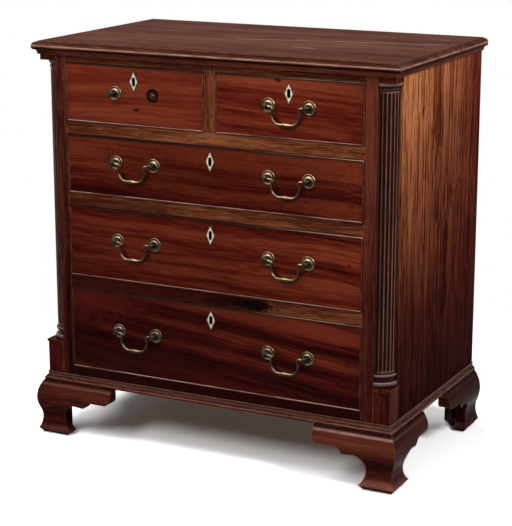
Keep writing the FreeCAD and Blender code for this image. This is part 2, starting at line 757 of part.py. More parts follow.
def dovetails(drawer, x, root, tip):
    """Tails in a row up a drawer side, from their roots to their wider tips along Y."""
    low = drawer.low + DRAWER_BOTTOM_RAISE + DRAWER_BOTTOM_THICKNESS
    high = drawer.high - DRAWER_SIDE_DROP
    count = max(1, round((high - low) / DOVETAIL_PITCH))
    pitch = (high - low) / count
    neck = DOVETAIL_NECK / 2
    spread = neck + abs(tip - root) * DOVETAIL_SLOPE
    tails = []
    for i in range(count):
        z = low + (i + 0.5) * pitch
        corners = [(root, z - neck), (tip, z - spread), (tip, z + spread), (root, z + neck)]
        face = flat_face(corners, lambda y, up: Vector(x[0], y, up))
        tails.append(face.extrude(Vector(x[1] - x[0], 0, 0)))
    return tails


def drawer_box(drawer):
    """Two sides, a back and a bottom, lapped dovetails in front and through dovetails behind."""
    front_back = FRONT + DRAWER_FRONT_THICKNESS
    rear = DRAWER_REAR
    back_front = rear - DRAWER_BACK_THICKNESS
    floor = drawer.low + DRAWER_BOTTOM_RAISE
    floor_top = floor + DRAWER_BOTTOM_THICKNESS
    side_top = drawer.high - DRAWER_SIDE_DROP
    left = (drawer.left, drawer.left + DRAWER_SIDE_THICKNESS)
    right = (drawer.right - DRAWER_SIDE_THICKNESS, drawer.right)
    bottom = box(
        (left[1] - DRAWER_GROOVE, right[0] + DRAWER_GROOVE),
        (front_back - DRAWER_GROOVE, rear),
        (floor, floor_top),
    )
    back = box((drawer.left, drawer.right), (back_front, rear), (floor_top, side_top))
    sides = []
    for x in (left, right):
        board = box(x, (front_back, back_front), (drawer.low, side_top))
        heel = box(x, (back_front, rear), (drawer.low, floor_top))
        front_tails = dovetails(drawer, x, front_back, FRONT + DOVETAIL_LAP)
        rear_tails = dovetails(drawer, x, back_front, rear)
        whole = board.fuse([heel] + front_tails + rear_tails).removeSplitter()
        sides.append(whole.cut(bottom))
    return sides + [back.cut(sides), bottom]


def cockbead(drawer):
    """Four mitred strips round a drawer front, each with an eased nose."""
    ease = BEAD_THICKNESS / 3
    nose = FRONT - BEAD_PROUD
    seat = FRONT + BEAD_REBATE
    section = [
        (0, seat),
        (0, nose + ease),
        (ease, nose),
        (BEAD_THICKNESS - ease, nose),
        (BEAD_THICKNESS, nose + ease),
        (BEAD_THICKNESS, seat),
    ]
    x0, x1, z0, z1 = drawer.left, drawer.right, drawer.low, drawer.high
    middle_x = (x0 + x1) / 2
    middle_z = (z0 + z1) / 2
    inset = 2 * BEAD_THICKNESS

    def strip(face, push, corners):
        wedge = flat_face(corners, lambda x, z: Vector(x, FRONT - BEYOND, z))
        return face.extrude(push).common(wedge.extrude(Vector(0, 2 * BEYOND, 0)))

    top_face = flat_face(section, lambda inward, y: Vector(x0, y, z1 - inward))
    left_face = flat_face(section, lambda inward, y: Vector(x0 + inward, y, z0))
    along = Vector(x1 - x0, 0, 0)
    up = Vector(0, 0, z1 - z0)
    top = strip(top_face, along, [(x0, z1), (x1, z1), (x1 - inset, z1 - inset), (x0 + inset, z1 - inset)])
    left = strip(left_face, up, [(x0, z0), (x0 + inset, z0 + inset), (x0 + inset, z1 - inset), (x0, z1)])
    bottom = top.mirror(Vector(0, 0, middle_z), Vector(0, 0, 1))
    right = left.mirror(Vector(middle_x, 0, 0), Vector(1, 0, 0))
    return [top, left, bottom, right]


def escutcheon(drawer):
    """A diamond let in flush with the drawer front, pierced by a round-ended keyhole."""
    half_width = ESCUTCHEON_WIDTH / 2
    half_height = ESCUTCHEON_HEIGHT / 2
    x, z = drawer.middle, drawer.keyhole_z
    diamond = flat_face(
        [(0, -half_height), (half_width, 0), (0, half_height), (-half_width, 0)],
        lambda u, v: Vector(x + u, FRONT, z + v),
    )
    straight = KEYHOLE_HEIGHT / 2 - KEYHOLE_RADIUS
    corners = []
    for end in (1, -1):
        for i in range(KEYHOLE_END_STEPS + 1):
            turn = math.pi * i / KEYHOLE_END_STEPS
            u = KEYHOLE_RADIUS * math.cos(turn) * end
            v = (KEYHOLE_RADIUS * math.sin(turn) + straight) * end
            corners.append((u, v))
    keyhole = flat_face(corners, lambda u, v: Vector(x + u, FRONT, z + v))
    inward = Vector(0, ESCUTCHEON_THICKNESS, 0)
    plate = diamond.extrude(inward)
    return plate, plate.cut(keyhole.extrude(inward))


def lock_middle_y():
    """How far back the middle of a lock and its bolt lie."""
    return FRONT + DRAWER_FRONT_THICKNESS - LOCK_THICKNESS / 2


def lock_and_bolt(drawer):
    """A lock case let into the back of the front, and the bolt that rises out of it."""
    x, y = drawer.middle, lock_middle_y()
    half = LOCK_WIDTH / 2
    thick = LOCK_THICKNESS / 2
    case = box((x - half, x + half), (y - thick, y + thick), (drawer.high - LOCK_HEIGHT, drawer.high))
    bolt_half = BOLT_WIDTH / 2
    bolt_thick = BOLT_THICKNESS / 2
    bolt = box(
        (x - bolt_half, x + bolt_half),
        (y - bolt_thick, y + bolt_thick),
        (drawer.high - BOLT_LENGTH, drawer.high),
    )
    room = BOLT_CLEARANCE
    slot = box(
        (x - bolt_half - room, x + bolt_half + room),
        (y - bolt_thick - room, y + bolt_thick + room),
        (drawer.high - BOLT_LENGTH - room, drawer.high),
    )
    return case, case.cut(slot), bolt


def key_way(drawer):
    """The slot through the front behind the keyhole, open to the lock."""
    half = KEYHOLE_RADIUS + KEY_WAY
    tall = KEYHOLE_HEIGHT / 2 + KEY_WAY
    return box(
        (drawer.middle - half, drawer.middle + half),
        (FRONT, lock_middle_y()),
        (drawer.keyhole_z - tall, drawer.keyhole_z + tall),
    )


def shank(x, z, out):
    """A post's stem from the nut behind the drawer front to a point in front of it."""
    section = [(0, -DRAWER_FRONT_THICKNESS), (POST_RADIUS, -DRAWER_FRONT_THICKNESS)]
    section += [(POST_RADIUS, out), (0, out)]
    return turned(section, POST_SIDES, 360, outward(x, z))


def nut(x, z):
    half = NUT_SIZE / 2
    back = FRONT + DRAWER_FRONT_THICKNESS
    return box((x - half, x + half), (back, back + NUT_THICKNESS), (z - half, z + half))


def rose(x, z):
    """A round dished plate under a post."""
    section = [
        (0, 0),
        (ROSE_RADIUS, 0),
        (ROSE_RADIUS, ROSE_RIM),
        (ROSE_BOSS_RADIUS, ROSE_RISE),
        (0, ROSE_RISE),
    ]
    return turned(section, ROSE_SIDES, 360, outward(x, z)).cut(shank(x, z, ROSE_RISE))


def post(x, z, inward):
    """A stem with a rounded head, drilled on its inner side for the bail's peg."""
    near = PULL_OUT - POST_HEAD_HALF
    far = PULL_OUT + POST_HEAD_HALF
    section = [
        (0, -DRAWER_FRONT_THICKNESS),
        (POST_RADIUS, -DRAWER_FRONT_THICKNESS),
        (POST_RADIUS, near),
        (POST_HEAD_RADIUS, PULL_OUT - POST_HEAD_FLAT),
        (POST_HEAD_RADIUS, PULL_OUT + POST_HEAD_FLAT),
        (POST_RADIUS, far),
        (0, far),
    ]
    stem = turned(section, POST_SIDES, 360, outward(x, z))
    deep = -(PEG_PAST_POST + PEG_CLEARANCE) * inward
    mouth = POST_HEAD_RADIUS * inward
    room = ROD_RADIUS + PEG_CLEARANCE
    hole = turned(
        [(0, deep), (room, deep), (room, mouth), (0, mouth)],
        BAIL_SIDES,
        360,
        crosswise(x, FRONT - PULL_OUT, z),
    )
    return stem.cut(hole)


def handle_posts(drawer):
    """Posts, roses and nuts; the left short drawer keeps one post and a broken stub."""
    half = POST_SPACING / 2
    z = drawer.handle_z
    pieces = []
    for centre in drawer.pulls.values():
        for side in (-1, 1):
            x = centre + side * half
            pieces += [post(x, z, -side), rose(x, z), nut(x, z)]
    if not drawer.pulls:
        left, right = drawer.middle - half, drawer.middle + half
        pieces += [post(left, z, 1), rose(left, z), nut(left, z)]
        pieces += [shank(right, z, STUB_PROUD), nut(right, z)]
    return pieces


def shank_holes(drawer):
    half = POST_SPACING / 2
    centres = list(drawer.pulls.values()) or [drawer.middle]
    return [shank(centre + side * half, drawer.handle_z, 0) for centre in centres for side in (-1, 1)]


def rounded_run(corner, before, after, radius, steps):
    """Points round a corner of a path, on an arc that touches both runs."""
    corner, before, after = (Vector(*point) for point in (corner, before, after))
    way_in = (before - corner).normalize()
    way_out = (after - corner).normalize()
    half = way_in.getAngle(way_out) / 2
    centre = corner + (way_in + way_out).normalize() * (radius / math.sin(half))
    start = corner + way_in * (radius / math.tan(half)) - centre
    across = corner + way_out * (radius / math.tan(half)) - centre
    turn = math.pi - 2 * half
    points = []
    for i in range(steps + 1):
        share = i / steps
        a = math.sin((1 - share) * turn) / math.sin(turn)
        b = math.sin(share * turn) / math.sin(turn)
        points.append(centre + start * a + across * b)
    return points


def bail(drawer, centre):
    """A swan-neck rod between two posts, hanging straight down, thicker in the middle."""
    y, z = FRONT - PULL_OUT, drawer.handle_z
    end = POST_SPACING / 2 + PEG_PAST_POST
    peg, neck, foot = (-end, 0, 0), (-BAIL_NECK_HALF, 0, 0), (-BAIL_FOOT_HALF, 0, -BAIL_DROP)
    middle = (0, 0, -BAIL_DROP)
    left = [Vector(*peg)]
    left += rounded_run(neck, peg, foot, BAIL_NECK_RADIUS, BAIL_NECK_STEPS)
    left += rounded_run(foot, neck, middle, BAIL_FOOT_RADIUS, BAIL_FOOT_STEPS)
    right = [Vector(-point.x, 0, point.z) for point in reversed(left)]
    place = Vector(centre, y, z)
    path = Part.makePolygon([point + place for point in left + right])
    ring = []
    for i in range(BAIL_SIDES + 1):
        turn = 2 * math.pi * (i + 0.5) / BAIL_SIDES
        ring.append(place + Vector(-end, ROD_RADIUS * math.cos(turn), ROD_RADIUS * math.sin(turn)))
    sweep = Part.BRepOffsetAPI.MakePipeShell(path)
    sweep.setTransitionMode(1)
    sweep.add(Part.makePolygon(ring))
    sweep.build()
    sweep.makeSolid()
    half = BAIL_SWELL_HALF
    spindle = turned(
        [(0, -half), (ROD_RADIUS / 2, -half), (BAIL_SWELL_RADIUS, 0), (ROD_RADIUS / 2, half), (0, half)],
        BAIL_SIDES,
        360,
        crosswise(centre, y, z - BAIL_DROP),
    )
    return sweep.shape().fuse(spindle).removeSplitter()


def drawer_front(drawer, box_pieces, fittings):
    """The front board, rebated for the beads and cut for what is let into it."""
    x, z = (drawer.left, drawer.right), (drawer.low, drawer.high)
    board = box(x, (FRONT, FRONT + DRAWER_FRONT_THICKNESS), z)
    inner = box(
        (x[0] + BEAD_THICKNESS, x[1] - BEAD_THICKNESS),
        (FRONT, FRONT + BEAD_REBATE),
        (z[0] + BEAD_THICKNESS, z[1] - BEAD_THICKNESS),
    )
    rebate = box(x, (FRONT, FRONT + BEAD_REBATE), z).cut(inner)
    return board.cut([rebate] + box_pieces + fittings)


def drawer_nodes(drawer):
    """Every node of one drawer, by name."""
    pieces = drawer_box(drawer)
    beads = cockbead(drawer)
    plate, pierced = escutcheon(drawer)
    case, lock, bolt = lock_and_bolt(drawer)
    fittings = [plate, case, key_way(drawer)] + shank_holes(drawer)
    nodes = {
        "drawer_front": [drawer_front(drawer, pieces, fittings)],
        "drawer_box": pieces,
        "cockbead": beads,
        "escutcheon": [pierced],
        "handle_posts": handle_posts(drawer),
        "lock": [lock],
        "lock_bolt": [bolt],
    }
    for side, centre in drawer.pulls.items():
        nodes[f"{side}_bail" if side else "bail"] = [bail(drawer, centre)]
    return {f"{drawer.name}_{part}": solids for part, solids in nodes.items()}


def case_nodes():
    """Every node of the case, by name."""
    bottom = case_bottom()
    boards = dustboards()
    rails = front_rails(boards)
    right_side = side_right(bottom)
    column = column_right()
    front_foot = front_foot_right()
    rear_foot = rear_foot_right()
    blocks = corner_blocks_right()
    return {
        "top_board": [top_board()],
        "bed_moulding": bed_moulding(),
        "side_left": [mirrored(right_side)],
        "side_right": [right_side],
        "back_boards": back_boards(),
        "case_bottom": [bottom],
        "corner_posts": both_sides(corner_post_right(rails)),
        "front_rails": rails,
        "column_left": [mirrored(one) for one in column],
        "column_right": column,
        "corner_blocks": blocks + [mirrored(one) for one in blocks],
        "base_moulding": base_moulding(),
        "foot_front_left": [mirrored(one) for one in front_foot],
        "foot_front_right": front_foot,
        "foot_rear_left": [mirrored(one) for one in rear_foot],
        "foot_rear_right": rear_foot,
        "runners_and_guides": runners_and_guides(boards),
        "dustboards": boards,
    }


def main():
    nodes = case_nodes()
    for drawer in DRAWERS:
        nodes.update(drawer_nodes(drawer))
    os.makedirs("parts", exist_ok=True)
    for name, solids in nodes.items():
        Part.makeCompound(solids).exportStep(f"parts/{name}.step")


main()
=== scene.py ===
import itertools
import math

import bpy
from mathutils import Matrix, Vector


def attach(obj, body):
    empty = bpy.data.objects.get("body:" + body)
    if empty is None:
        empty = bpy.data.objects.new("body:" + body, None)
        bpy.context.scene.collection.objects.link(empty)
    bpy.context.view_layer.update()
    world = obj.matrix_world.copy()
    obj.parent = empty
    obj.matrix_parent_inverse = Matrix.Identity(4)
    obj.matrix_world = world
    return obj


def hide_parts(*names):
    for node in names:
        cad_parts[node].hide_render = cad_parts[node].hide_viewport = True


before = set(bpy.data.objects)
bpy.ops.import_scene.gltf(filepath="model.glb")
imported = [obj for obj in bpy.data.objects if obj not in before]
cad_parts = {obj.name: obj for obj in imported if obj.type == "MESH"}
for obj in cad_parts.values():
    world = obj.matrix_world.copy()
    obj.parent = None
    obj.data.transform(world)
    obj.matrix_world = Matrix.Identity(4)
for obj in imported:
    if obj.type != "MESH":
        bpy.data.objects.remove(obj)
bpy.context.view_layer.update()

MM = 0.001
QUARTER = math.pi / 2

# Sizes shared with the solids, in millimetres
FRONT = -215.0
COLUMN_X = 344.0
COLUMN_Y = -179.0
COLUMN_RADIUS = 29.5
COLUMN_STEP = 1.8
PLINTH_TOP = 200.0
TORUS_HALF = 5.0
SCOTIA_HALF = 4.2
BASE_RING_HALF = 3.4
BASE_TOP = 228.0
CAPITAL_FOOT = 759.5
CAPITAL_RING_OUT = 2.0
CAPITAL_RING_HALF = 2.7
CAPITAL_NECK = 8.0
OVOLO_OUT = 4.0
OVOLO_RISE = 6.0
CAPITAL_TOP = 775.5
FLUTES = 6
FLUTE_RADIUS = 2.8
FLUTE_MARGIN = 3.0
POST_HALF = 42.0
PULL_OUT = 14.5
SHANK_END = 22.0
NUT_HALF = 5.5
NUT_THICK = 4.0
BAIL_DROP = 33.0
BAIL_PEG = 44.0
BAIL_NECK = 26.0
BAIL_FOOT = 34.0
BAIL_NECK_BEND = 5.0
BEAD_HALF = 1.6
BEAD_PROUD = 2.0
BEAD_DEEP = 5.0
LONE_HANDLE = -166.25
BACK_PITCH = 185.5
DIVIDER_HALF = 11.5
DIVIDER_FOOT = 657.5
KEYHOLE_DROP = 29.7
INLAY_HALF = 9.5
INLAY_RISE = 20.0

# Each drawer's handle height, and the middle of each of its bails
HANDLES = {
    "short_left": (720.0, {}),
    "short_right": (720.0, {"short_right_bail": 166.25}),
    "upper": (583.0, {"upper_left_bail": -166.5, "upper_right_bail": 166.5}),
    "middle": (425.5, {"middle_left_bail": -166.5, "middle_right_bail": 166.5}),
    "lower": (239.0, {"lower_left_bail": -166.5, "lower_right_bail": 166.5}),
}
# Each drawer front's left, right, low and high edge
FRONTS = {
    "short_left": (-320.0, -12.5, 657.7, 774.2),
    "short_right": (12.5, 320.0, 657.7, 774.2),
    "upper": (-320.0, 320.0, 513.7, 631.7),
    "middle": (-320.0, 320.0, 343.7, 487.7),
    "lower": (-320.0, 320.0, 149.7, 317.7),
}

# The rounder forms of bails, posts and columns
SHANK_RADIUS = 3.2
BAIL_SHOULDER = 38.0
BAIL_FOOT_BEND = 18.0
BAIL_ROD = 2.5
GRIP_SWELL = 1.6
GRIP_REACH = 9.0
GRIP_PLACES = (-9.0, -7.0, -5.0, -3.5, -2.0, -1.0, 0.0)
ROD_STEPS = 16
POST_STEPS = 40
STUB_STEPS = 24
COLUMN_STEPS = 24
FLUTE_STEPS = 8
FLUTE_END_STEPS = 6
FLUTE_LEAST = 0.15
SHARP_ANGLE = 38.0

# Where wear, dirt, painted highlights, painted shade and painted shadows lie and how far they
# reach, in millimetres
TOP_QUIRK = (809.6, 812.2)
TOP_NOSE = (802.6, 805.2)
TOP_COVE = (795.0, 800.8)
BASE_LIP = (130.6, 132.0)
BASE_COVE = (123.4, 128.0)
BASE_BEAD = (118.0, 120.0)
BASE_QUIRKS = ((113.0, 115.6), (120.6, 122.8), (128.8, 130.0))
FOOT_JOINT = (111.6, 116.0)
FOOT_SHOULDER = (105.0, 107.5)
FOOT_BULGE = (76.0, 100.0)
FOOT_WAIST = (34.0, 50.0)
FOOT_TOE = (9.0, 18.0)
FILLET_REACH = (28.1, 29.4)
SWELLING_REACH = (30.6, 32.8)
WORN_EDGE = 1.6
CREVICE = 10.0
LINE_END = 10.0
LINE_WANDER = 2.5
BAIL_SHADOW_HALF = 31.0
BAIL_SHADOW_SIDE = -1.0
BAIL_SHADOW_DROP = 7.0
GHOST_RADIUS = 13.6
STUB_RING = (7.0, 5.0)
TOP_CRACK = ((-50, -11), (383, 87))
CRACK_EDGE = ((-50, -15), (383, 83))
TOP_SCRATCHES = [
    ((104, -84), (166, -89)), ((178, 113), (206, 120)),
    ((-200, -150), (-170, -146)), ((60, 30), (84, 28)),
]
# Each stain's x, z, half width and half height
STAINS = {
    "short_left": [(-162.5, 689.0, 9.5, 1.8), (-160.0, 691.0, 5.0, 2.0), (-214.0, 700.0, 2.2, 1.4)],
    "short_right": [(145.0, 767.5, 5.5, 3.5), (140.0, 771.0, 4.0, 2.5)],
    "upper": [
        (203.0, 543.0, 2.6, 2.6), (224.0, 524.0, 1.6, 1.6), (275.0, 528.0, 1.8, 1.8),
        (297.0, 545.0, 2.4, 2.4), (-305.0, 540.0, 3.0, 3.4),
    ],
    "middle": [
        (273.0, 414.0, 2.0, 1.8), (293.0, 430.0, 3.0, 2.6),
        (-293.0, 429.0, 2.6, 2.2), (32.0, 377.0, 4.0, 2.0),
    ],
    "lower": [(295.0, 242.0, 3.0, 3.0), (224.0, 228.0, 2.0, 2.0)],
}

# Display colours, and what leaves a colour as it is
# DIRT_AND_SHADE colours real dirt, and also paints shade in corners, quirks, under things and
# beside the bails
DIRT_AND_SHADE = (16, 7, 6)
STAIN = (26, 9, 8)
WORN = (186, 132, 98)
PLAIN = (1.0, 1.0, 1.0)


def srgb(red, green, blue):
    """A display colour from 0 to 255 as linear light."""
    light = []
    for value in (red, green, blue):
        share = value / 255
        light.append(share / 12.92 if share <= 0.04045 else ((share + 0.055) / 1.055) ** 2.4)
    return (*light, 1.0)


class Graph:
    """A node tree with short calls for the nodes that the looks share."""

    def __init__(self, tree):
        self.tree = tree

    def node(self, kind, inputs=None, **settings):
        made = self.tree.nodes.new(kind)
        for key, value in settings.items():
            setattr(made, key, value)
        for key, value in (inputs or {}).items():
            self.feed(made.inputs[key], value)
        return made

    def feed(self, socket, value):
        if isinstance(value, bpy.types.NodeSocket):
            self.tree.links.new(value, socket)
        else:
            socket.default_value = value

    def math(self, operation, first, second=0.0):
        return self.node("ShaderNodeMath", {0: first, 1: second}, operation=operation).outputs[0]

    def both(self, first, second):
        return self.math("MULTIPLY", first, second)

    def vector(self, operation, first, second=(0.0, 0.0, 0.0)):
        made = self.node("ShaderNodeVectorMath", {0: first, 1: second}, operation=operation)
        return made.outputs["Value" if operation in ("DOT_PRODUCT", "LENGTH") else "Vector"]

    def combine(self, x, y, z):
        return self.node("ShaderNodeCombineXYZ", {0: x, 1: y, 2: z}).outputs[0]

    def split(self, vector):
        return self.node("ShaderNodeSeparateXYZ", {0: vector}).outputs

    def mix(self, factor, first, second, blend="MIX"):
        inputs = {0: factor, 6: first, 7: second}
        return self.node("ShaderNodeMix", inputs, data_type="RGBA", blend_type=blend).outputs[2]

    def choose(self, factor, first, second):
        inputs = {0: factor, 4: first, 5: second}
        return self.node("ShaderNodeMix", inputs, data_type="VECTOR").outputs[1]

    def span(self, value, low, high, to_low=0.0, to_high=1.0):
        """Maps low..high to to_low..to_high, held at the ends."""
        inputs = {0: value, 1: low, 2: high, 3: to_low, 4: to_high}
        return self.node("ShaderNodeMapRange", inputs).outputs[0]

    def noise(self, vector, scale, detail=3.0, roughness=0.5, output=0):
        """Noise as a value, or from output 1 as a colour."""
        inputs = {"Vector": vector, "Scale": scale, "Detail": detail, "Roughness": roughness}
        return self.node("ShaderNodeTexNoise", inputs).outputs[output]

    def stretched(self, vector, stretch, detail, roughness=0.5):
        """Noise that is finer along some axes than along others."""
        return self.noise(self.vector("MULTIPLY", vector, stretch), 1.0, detail, roughness)

    def ramp(self, value, stops):
        """A colour that runs through (place, display colour) stops."""
        made = self.node("ShaderNodeValToRGB", {0: value})
        elements = made.color_ramp.elements
        while len(elements) < len(stops):
            elements.new(0.5)
        for element, (place, shade) in zip(elements, stops):
            element.position = place
            element.color = srgb(*shade)
        return made.outputs[0]

    def toned(self, value, tones):
        """A colour that runs from a dark through a middle to a light tone."""
        return self.ramp(value, list(zip((0.0, 0.5, 1.0), tones)))

    def seen(self):
        """1 where the camera looks, also by way of a mirror or glass."""
        path = self.node("ShaderNodeLightPath").outputs
        by_way = self.math("MAXIMUM", path["Is Glossy Ray"], path["Is Transmission Ray"])
        return self.math("MAXIMUM", path["Is Camera Ray"], by_way)


class Finish(Graph):
    """A surface's material, its coordinates, and the wear, dirt and painted shade that all of them
    share.
    """

    def __init__(self, name):
        self.material = bpy.data.materials.new(name)
        self.material.use_nodes = True
        super().__init__(self.material.node_tree)
        self.shader = self.tree.nodes["Principled BSDF"]
        places = self.node("ShaderNodeTexCoord")
        self.place = places.outputs["Object"]
        self.x, self.y, self.z = self.split(self.place)
        self.aside, self.ahead, self.up = self.split(places.outputs["Normal"])

    def edges(self, radius):
        """How much a spot lies on an edge, from how far its softened normal turns."""
        soft = self.node("ShaderNodeBevel", {"Radius": radius}, samples=6).outputs[0]
        normal = self.node("ShaderNodeNewGeometry").outputs["Normal"]
        return self.span(self.vector("DOT_PRODUCT", soft, normal), 0.985, 0.80)

    def crevices(self, distance):
        """0 in the open, rising to 1 in corners and quirks."""
        made = self.node("ShaderNodeAmbientOcclusion", {"Distance": distance}, samples=6)
        return self.span(made.outputs["AO"], 0.85, 0.25)

    def band(self, value, low, high, soft):
        """1 between two places in millimetres, with soft ends."""
        rise = self.span(value, (low - soft) * MM, (low + soft) * MM)
        fall = self.span(value, (high + soft) * MM, (high - soft) * MM)
        return self.both(rise, fall)

    def broken(self, scale, least):
        """A share from least to 1, for wear and painted highlights that come and go."""
        return self.span(self.noise(self.place, scale, 4.0, 0.6), 0.35, 0.6, least, 1.0)

    def off(self, value, centre, half):
        """How many half widths a value lies from a centre, both in millimetres."""
        return self.math("DIVIDE", self.math("SUBTRACT", value, centre * MM), half * MM)

    def distance(self, u, v):
        return self.math("SQRT", self.math("ADD", self.both(u, u), self.both(v, v)))

    def spot(self, x, z, wide, high, soft=0.35):
        """A round or oval mark on the front, with a broken edge."""
        shake = self.noise(self.place, 160.0, 2.0)
        far = self.distance(self.off(self.x, x, wide), self.off(self.z, z, high))
        far = self.math("ADD", far, self.span(shake, 0.2, 0.8, -soft / 2, soft / 2))
        return self.span(far, 1.0 + soft / 2, 1.0 - soft / 2)

    def tint(self, colour, mask, shade, strength):
        return self.mix(self.both(mask, strength), colour, srgb(*shade))

    def tints(self, colour, *layers):
        """Lays (mask, shade, strength) layers over a colour, one after the other."""
        for layer in layers:
            colour = self.tint(colour, *layer)
        return colour

    def shaded(self, colour, share):
        return self.mix(1.0, colour, self.combine(share, share, share), "MULTIPLY")

    def finish(self, colour, roughness, height, bump, soften=0.8 * MM):
        """Feeds the shader, with a soft edge and a slight relief, and gives the material."""
        self.feed(self.shader.inputs["Base Color"], colour)
        self.feed(self.shader.inputs["Roughness"], roughness)
        normal = self.node("ShaderNodeBevel", {"Radius": soften}, samples=4).outputs[0]
        relief = {"Strength": bump, "Distance": 0.6 * MM, "Height": height, "Normal": normal}
        raised = self.node("ShaderNodeBump", relief)
        self.feed(self.shader.inputs["Normal"], raised.outputs[0])
        return self.material


def along(f, way):
    """The surface's place with the grain's direction first."""
    if way == "Z":
        return f.combine(f.z, f.x, f.y)
    if way == "Y":
        return f.combine(f.y, f.x, f.z)
    if way == "boards":
        board = f.math("FLOOR", f.math("DIVIDE", f.x, BACK_PITCH * MM))
        return f.combine(f.math("ADD", f.z, board), f.math("ADD", f.x, board), f.y)
    if way == "turns":
        turned, facing = f.math("ABSOLUTE", f.aside), f.math("ABSOLUTE", f.ahead)
        returns = f.math("GREATER_THAN", turned, facing)
        return f.choose(returns, f.place, f.combine(f.y, f.x, f.z))
    if way == "rails":
        narrow = f.math("LESS_THAN", f.math("ABSOLUTE", f.x), (DIVIDER_HALF + 0.1) * MM)
        upper = f.math("GREATER_THAN", f.z, DIVIDER_FOOT * MM)
        return f.choose(f.both(narrow, upper), f.place, f.combine(f.z, f.x, f.y))
    return f.place


# How much finer each layer of the figure is along the grain and across it, and the layers' shares
FIGURE_LAYERS = ((0.45, 0.5), (1.0, 1.6), (5.0, 8.0), (14.0, 20.0))
BANDED = (0.28, 0.20, 0.27, 0.25)
STREAKED = (0.08, 0.14, 0.42, 0.36)
SWEPT = (0.38, 0.30, 0.18, 0.14)
SEED_STEP = (7.31, 3.17, 1.73)
SWAY = (0.0, 0.025, 0.025)
TONE_MIDDLE = 0.49
TONE_REACH = 0.15
PORES = (70.0, 1500.0, 1500.0)
FLECKS = (26.0, 360.0, 360.0)
# From where to where the low and the left colours, which paint shade, pass into plain ones, in
# metres
LOW_SPAN = (0.10, 0.72)
LEFT_SPAN = (-0.32, 0.22)


def wood(
    name, tones, way, seed, *, figure=(2.0, 30.0), contrast=1.0, worn=0.7, dull=0.42, shine=0.02,
    low=PLAIN, left=PLAIN, fade=None, marks=None, shares=BANDED, grime_and_shade=0.88, slope=0.0, flecked=0.6,
):
    """Polished timber: long streaks, fine lines and pores, worn edges, and corners darkened with
    dirt and painted shade.

    tones are the dark, middle and light colours. figure is how many of the broad streaks lie in a
    metre along the grain and across it. low is what is left of each colour near the floor, and
    left at the left end of the front; both darkenings are painted shade of light falling off, low
    partly grime as well. fade recolours it by place: bleaching, and on the side and the column
    painted light too. marks adds stains, wear, painted highlights and painted shade to it.
    grime_and_shade is how far the corners are darkened. slope is how far the grain falls in a metre
    to the right, and flecked how dark its short lines are.
    """
    f = Finish(name)
    run, rise = figure
    grain = f.vector("ADD", along(f, way), tuple(seed * step for step in SEED_STEP))
    if slope:
        grain = f.vector("ADD", grain, f.combine(0.0, 0.0, f.both(f.x, slope)))
    sway = f.vector("SUBTRACT", f.noise(grain, 4.0, 2.0, output=1), (0.5, 0.5, 0.5))
    grain = f.vector("ADD", grain, f.vector("MULTIPLY", sway, SWAY))
    tone = 0.0
    for (finer_along, finer_across), share in zip(FIGURE_LAYERS, shares):
        across = finer_across * rise
        layer = f.stretched(grain, (finer_along * run, across, across), 3.5, 0.58)
        tone = f.math("ADD", tone, f.both(layer, share))
    reach = TONE_REACH / contrast
    tone = f.span(tone, TONE_MIDDLE - reach, TONE_MIDDLE + reach)
    colour = f.toned(tone, tones)
    if fade:
        colour = fade(f, colour, tone)
    dark, middle = srgb(*tones[0]), srgb(*tones[1])
    pores = f.stretched(grain, PORES, 1.0)
    colour = f.mix(f.span(pores, 0.30, 0.42, 0.35, 0.0), colour, dark)
    flecks = f.stretched(grain, FLECKS, 2.0, 0.6)
    colour = f.mix(f.span(flecks, 0.42, 0.28, 0.0, flecked), colour, dark)
    patches = f.noise(f.place, 7.0)
    colour = f.shaded(colour, f.span(patches, 0.3, 0.7, 0.80, 1.10))
    # Painted shade: darker towards the floor, partly grime too, and towards the left end
    for value, ends, left_over in ((f.z, LOW_SPAN, low), (f.x, LEFT_SPAN, left)):
        if left_over != PLAIN:
            share = f.mix(f.span(value, *ends), (*left_over, 1.0), (*PLAIN, 1.0))
            colour = f.mix(1.0, colour, share, "MULTIPLY")
    if marks:
        colour = marks(f, colour)
    ragged = f.span(f.noise(f.place, 55.0, 4.0, 0.7), 0.38, 0.62)
    edge = f.both(f.edges(WORN_EDGE * MM), f.both(ragged, worn))
    colour = f.mix(edge, colour, f.mix(0.6, middle, srgb(*WORN)))
    # Corners and quirks darkened: dirt, and painted shade where shade falls
    colour = f.tint(colour, f.crevices(CREVICE * MM), DIRT_AND_SHADE, grime_and_shade)
    roughness = f.span(f.math("ADD", tone, patches), 0.6, 1.4, dull + 0.06, dull - 0.06)
    f.shader.inputs["Specular IOR Level"].default_value = shine
    return f.finish(colour, roughness, f.math("ADD", tone, f.span(pores, 0.30, 0.42)), 0.10)


def from_inlay(f, drawer):
    """How far a spot lies from the middle of a drawer's escutcheon, 1 on the diamond's rim."""
    left, right, _, high = FRONTS[drawer]
    across = f.math("ABSOLUTE", f.off(f.x, (left + right) / 2, INLAY_HALF))
    upward = f.math("ABSOLUTE", f.off(f.z, high - KEYHOLE_DROP, INLAY_RISE))
    return f.math("ADD", across, upward)


def bail_shadow(f, x, z):
    """A painted shadow that follows a hanging bail's outline on the front, a little right of and
    below it.
    """
    below = f.off(f.z, z, BAIL_DROP)
    ring = f.distance(f.off(f.x, x, BAIL_SHADOW_HALF), below)
    from_ring = f.math("ABSOLUTE", f.math("SUBTRACT", ring, 1.0))
    return f.both(f.span(from_ring, 0.20, 0.04), f.span(below, -0.1, -0.5))


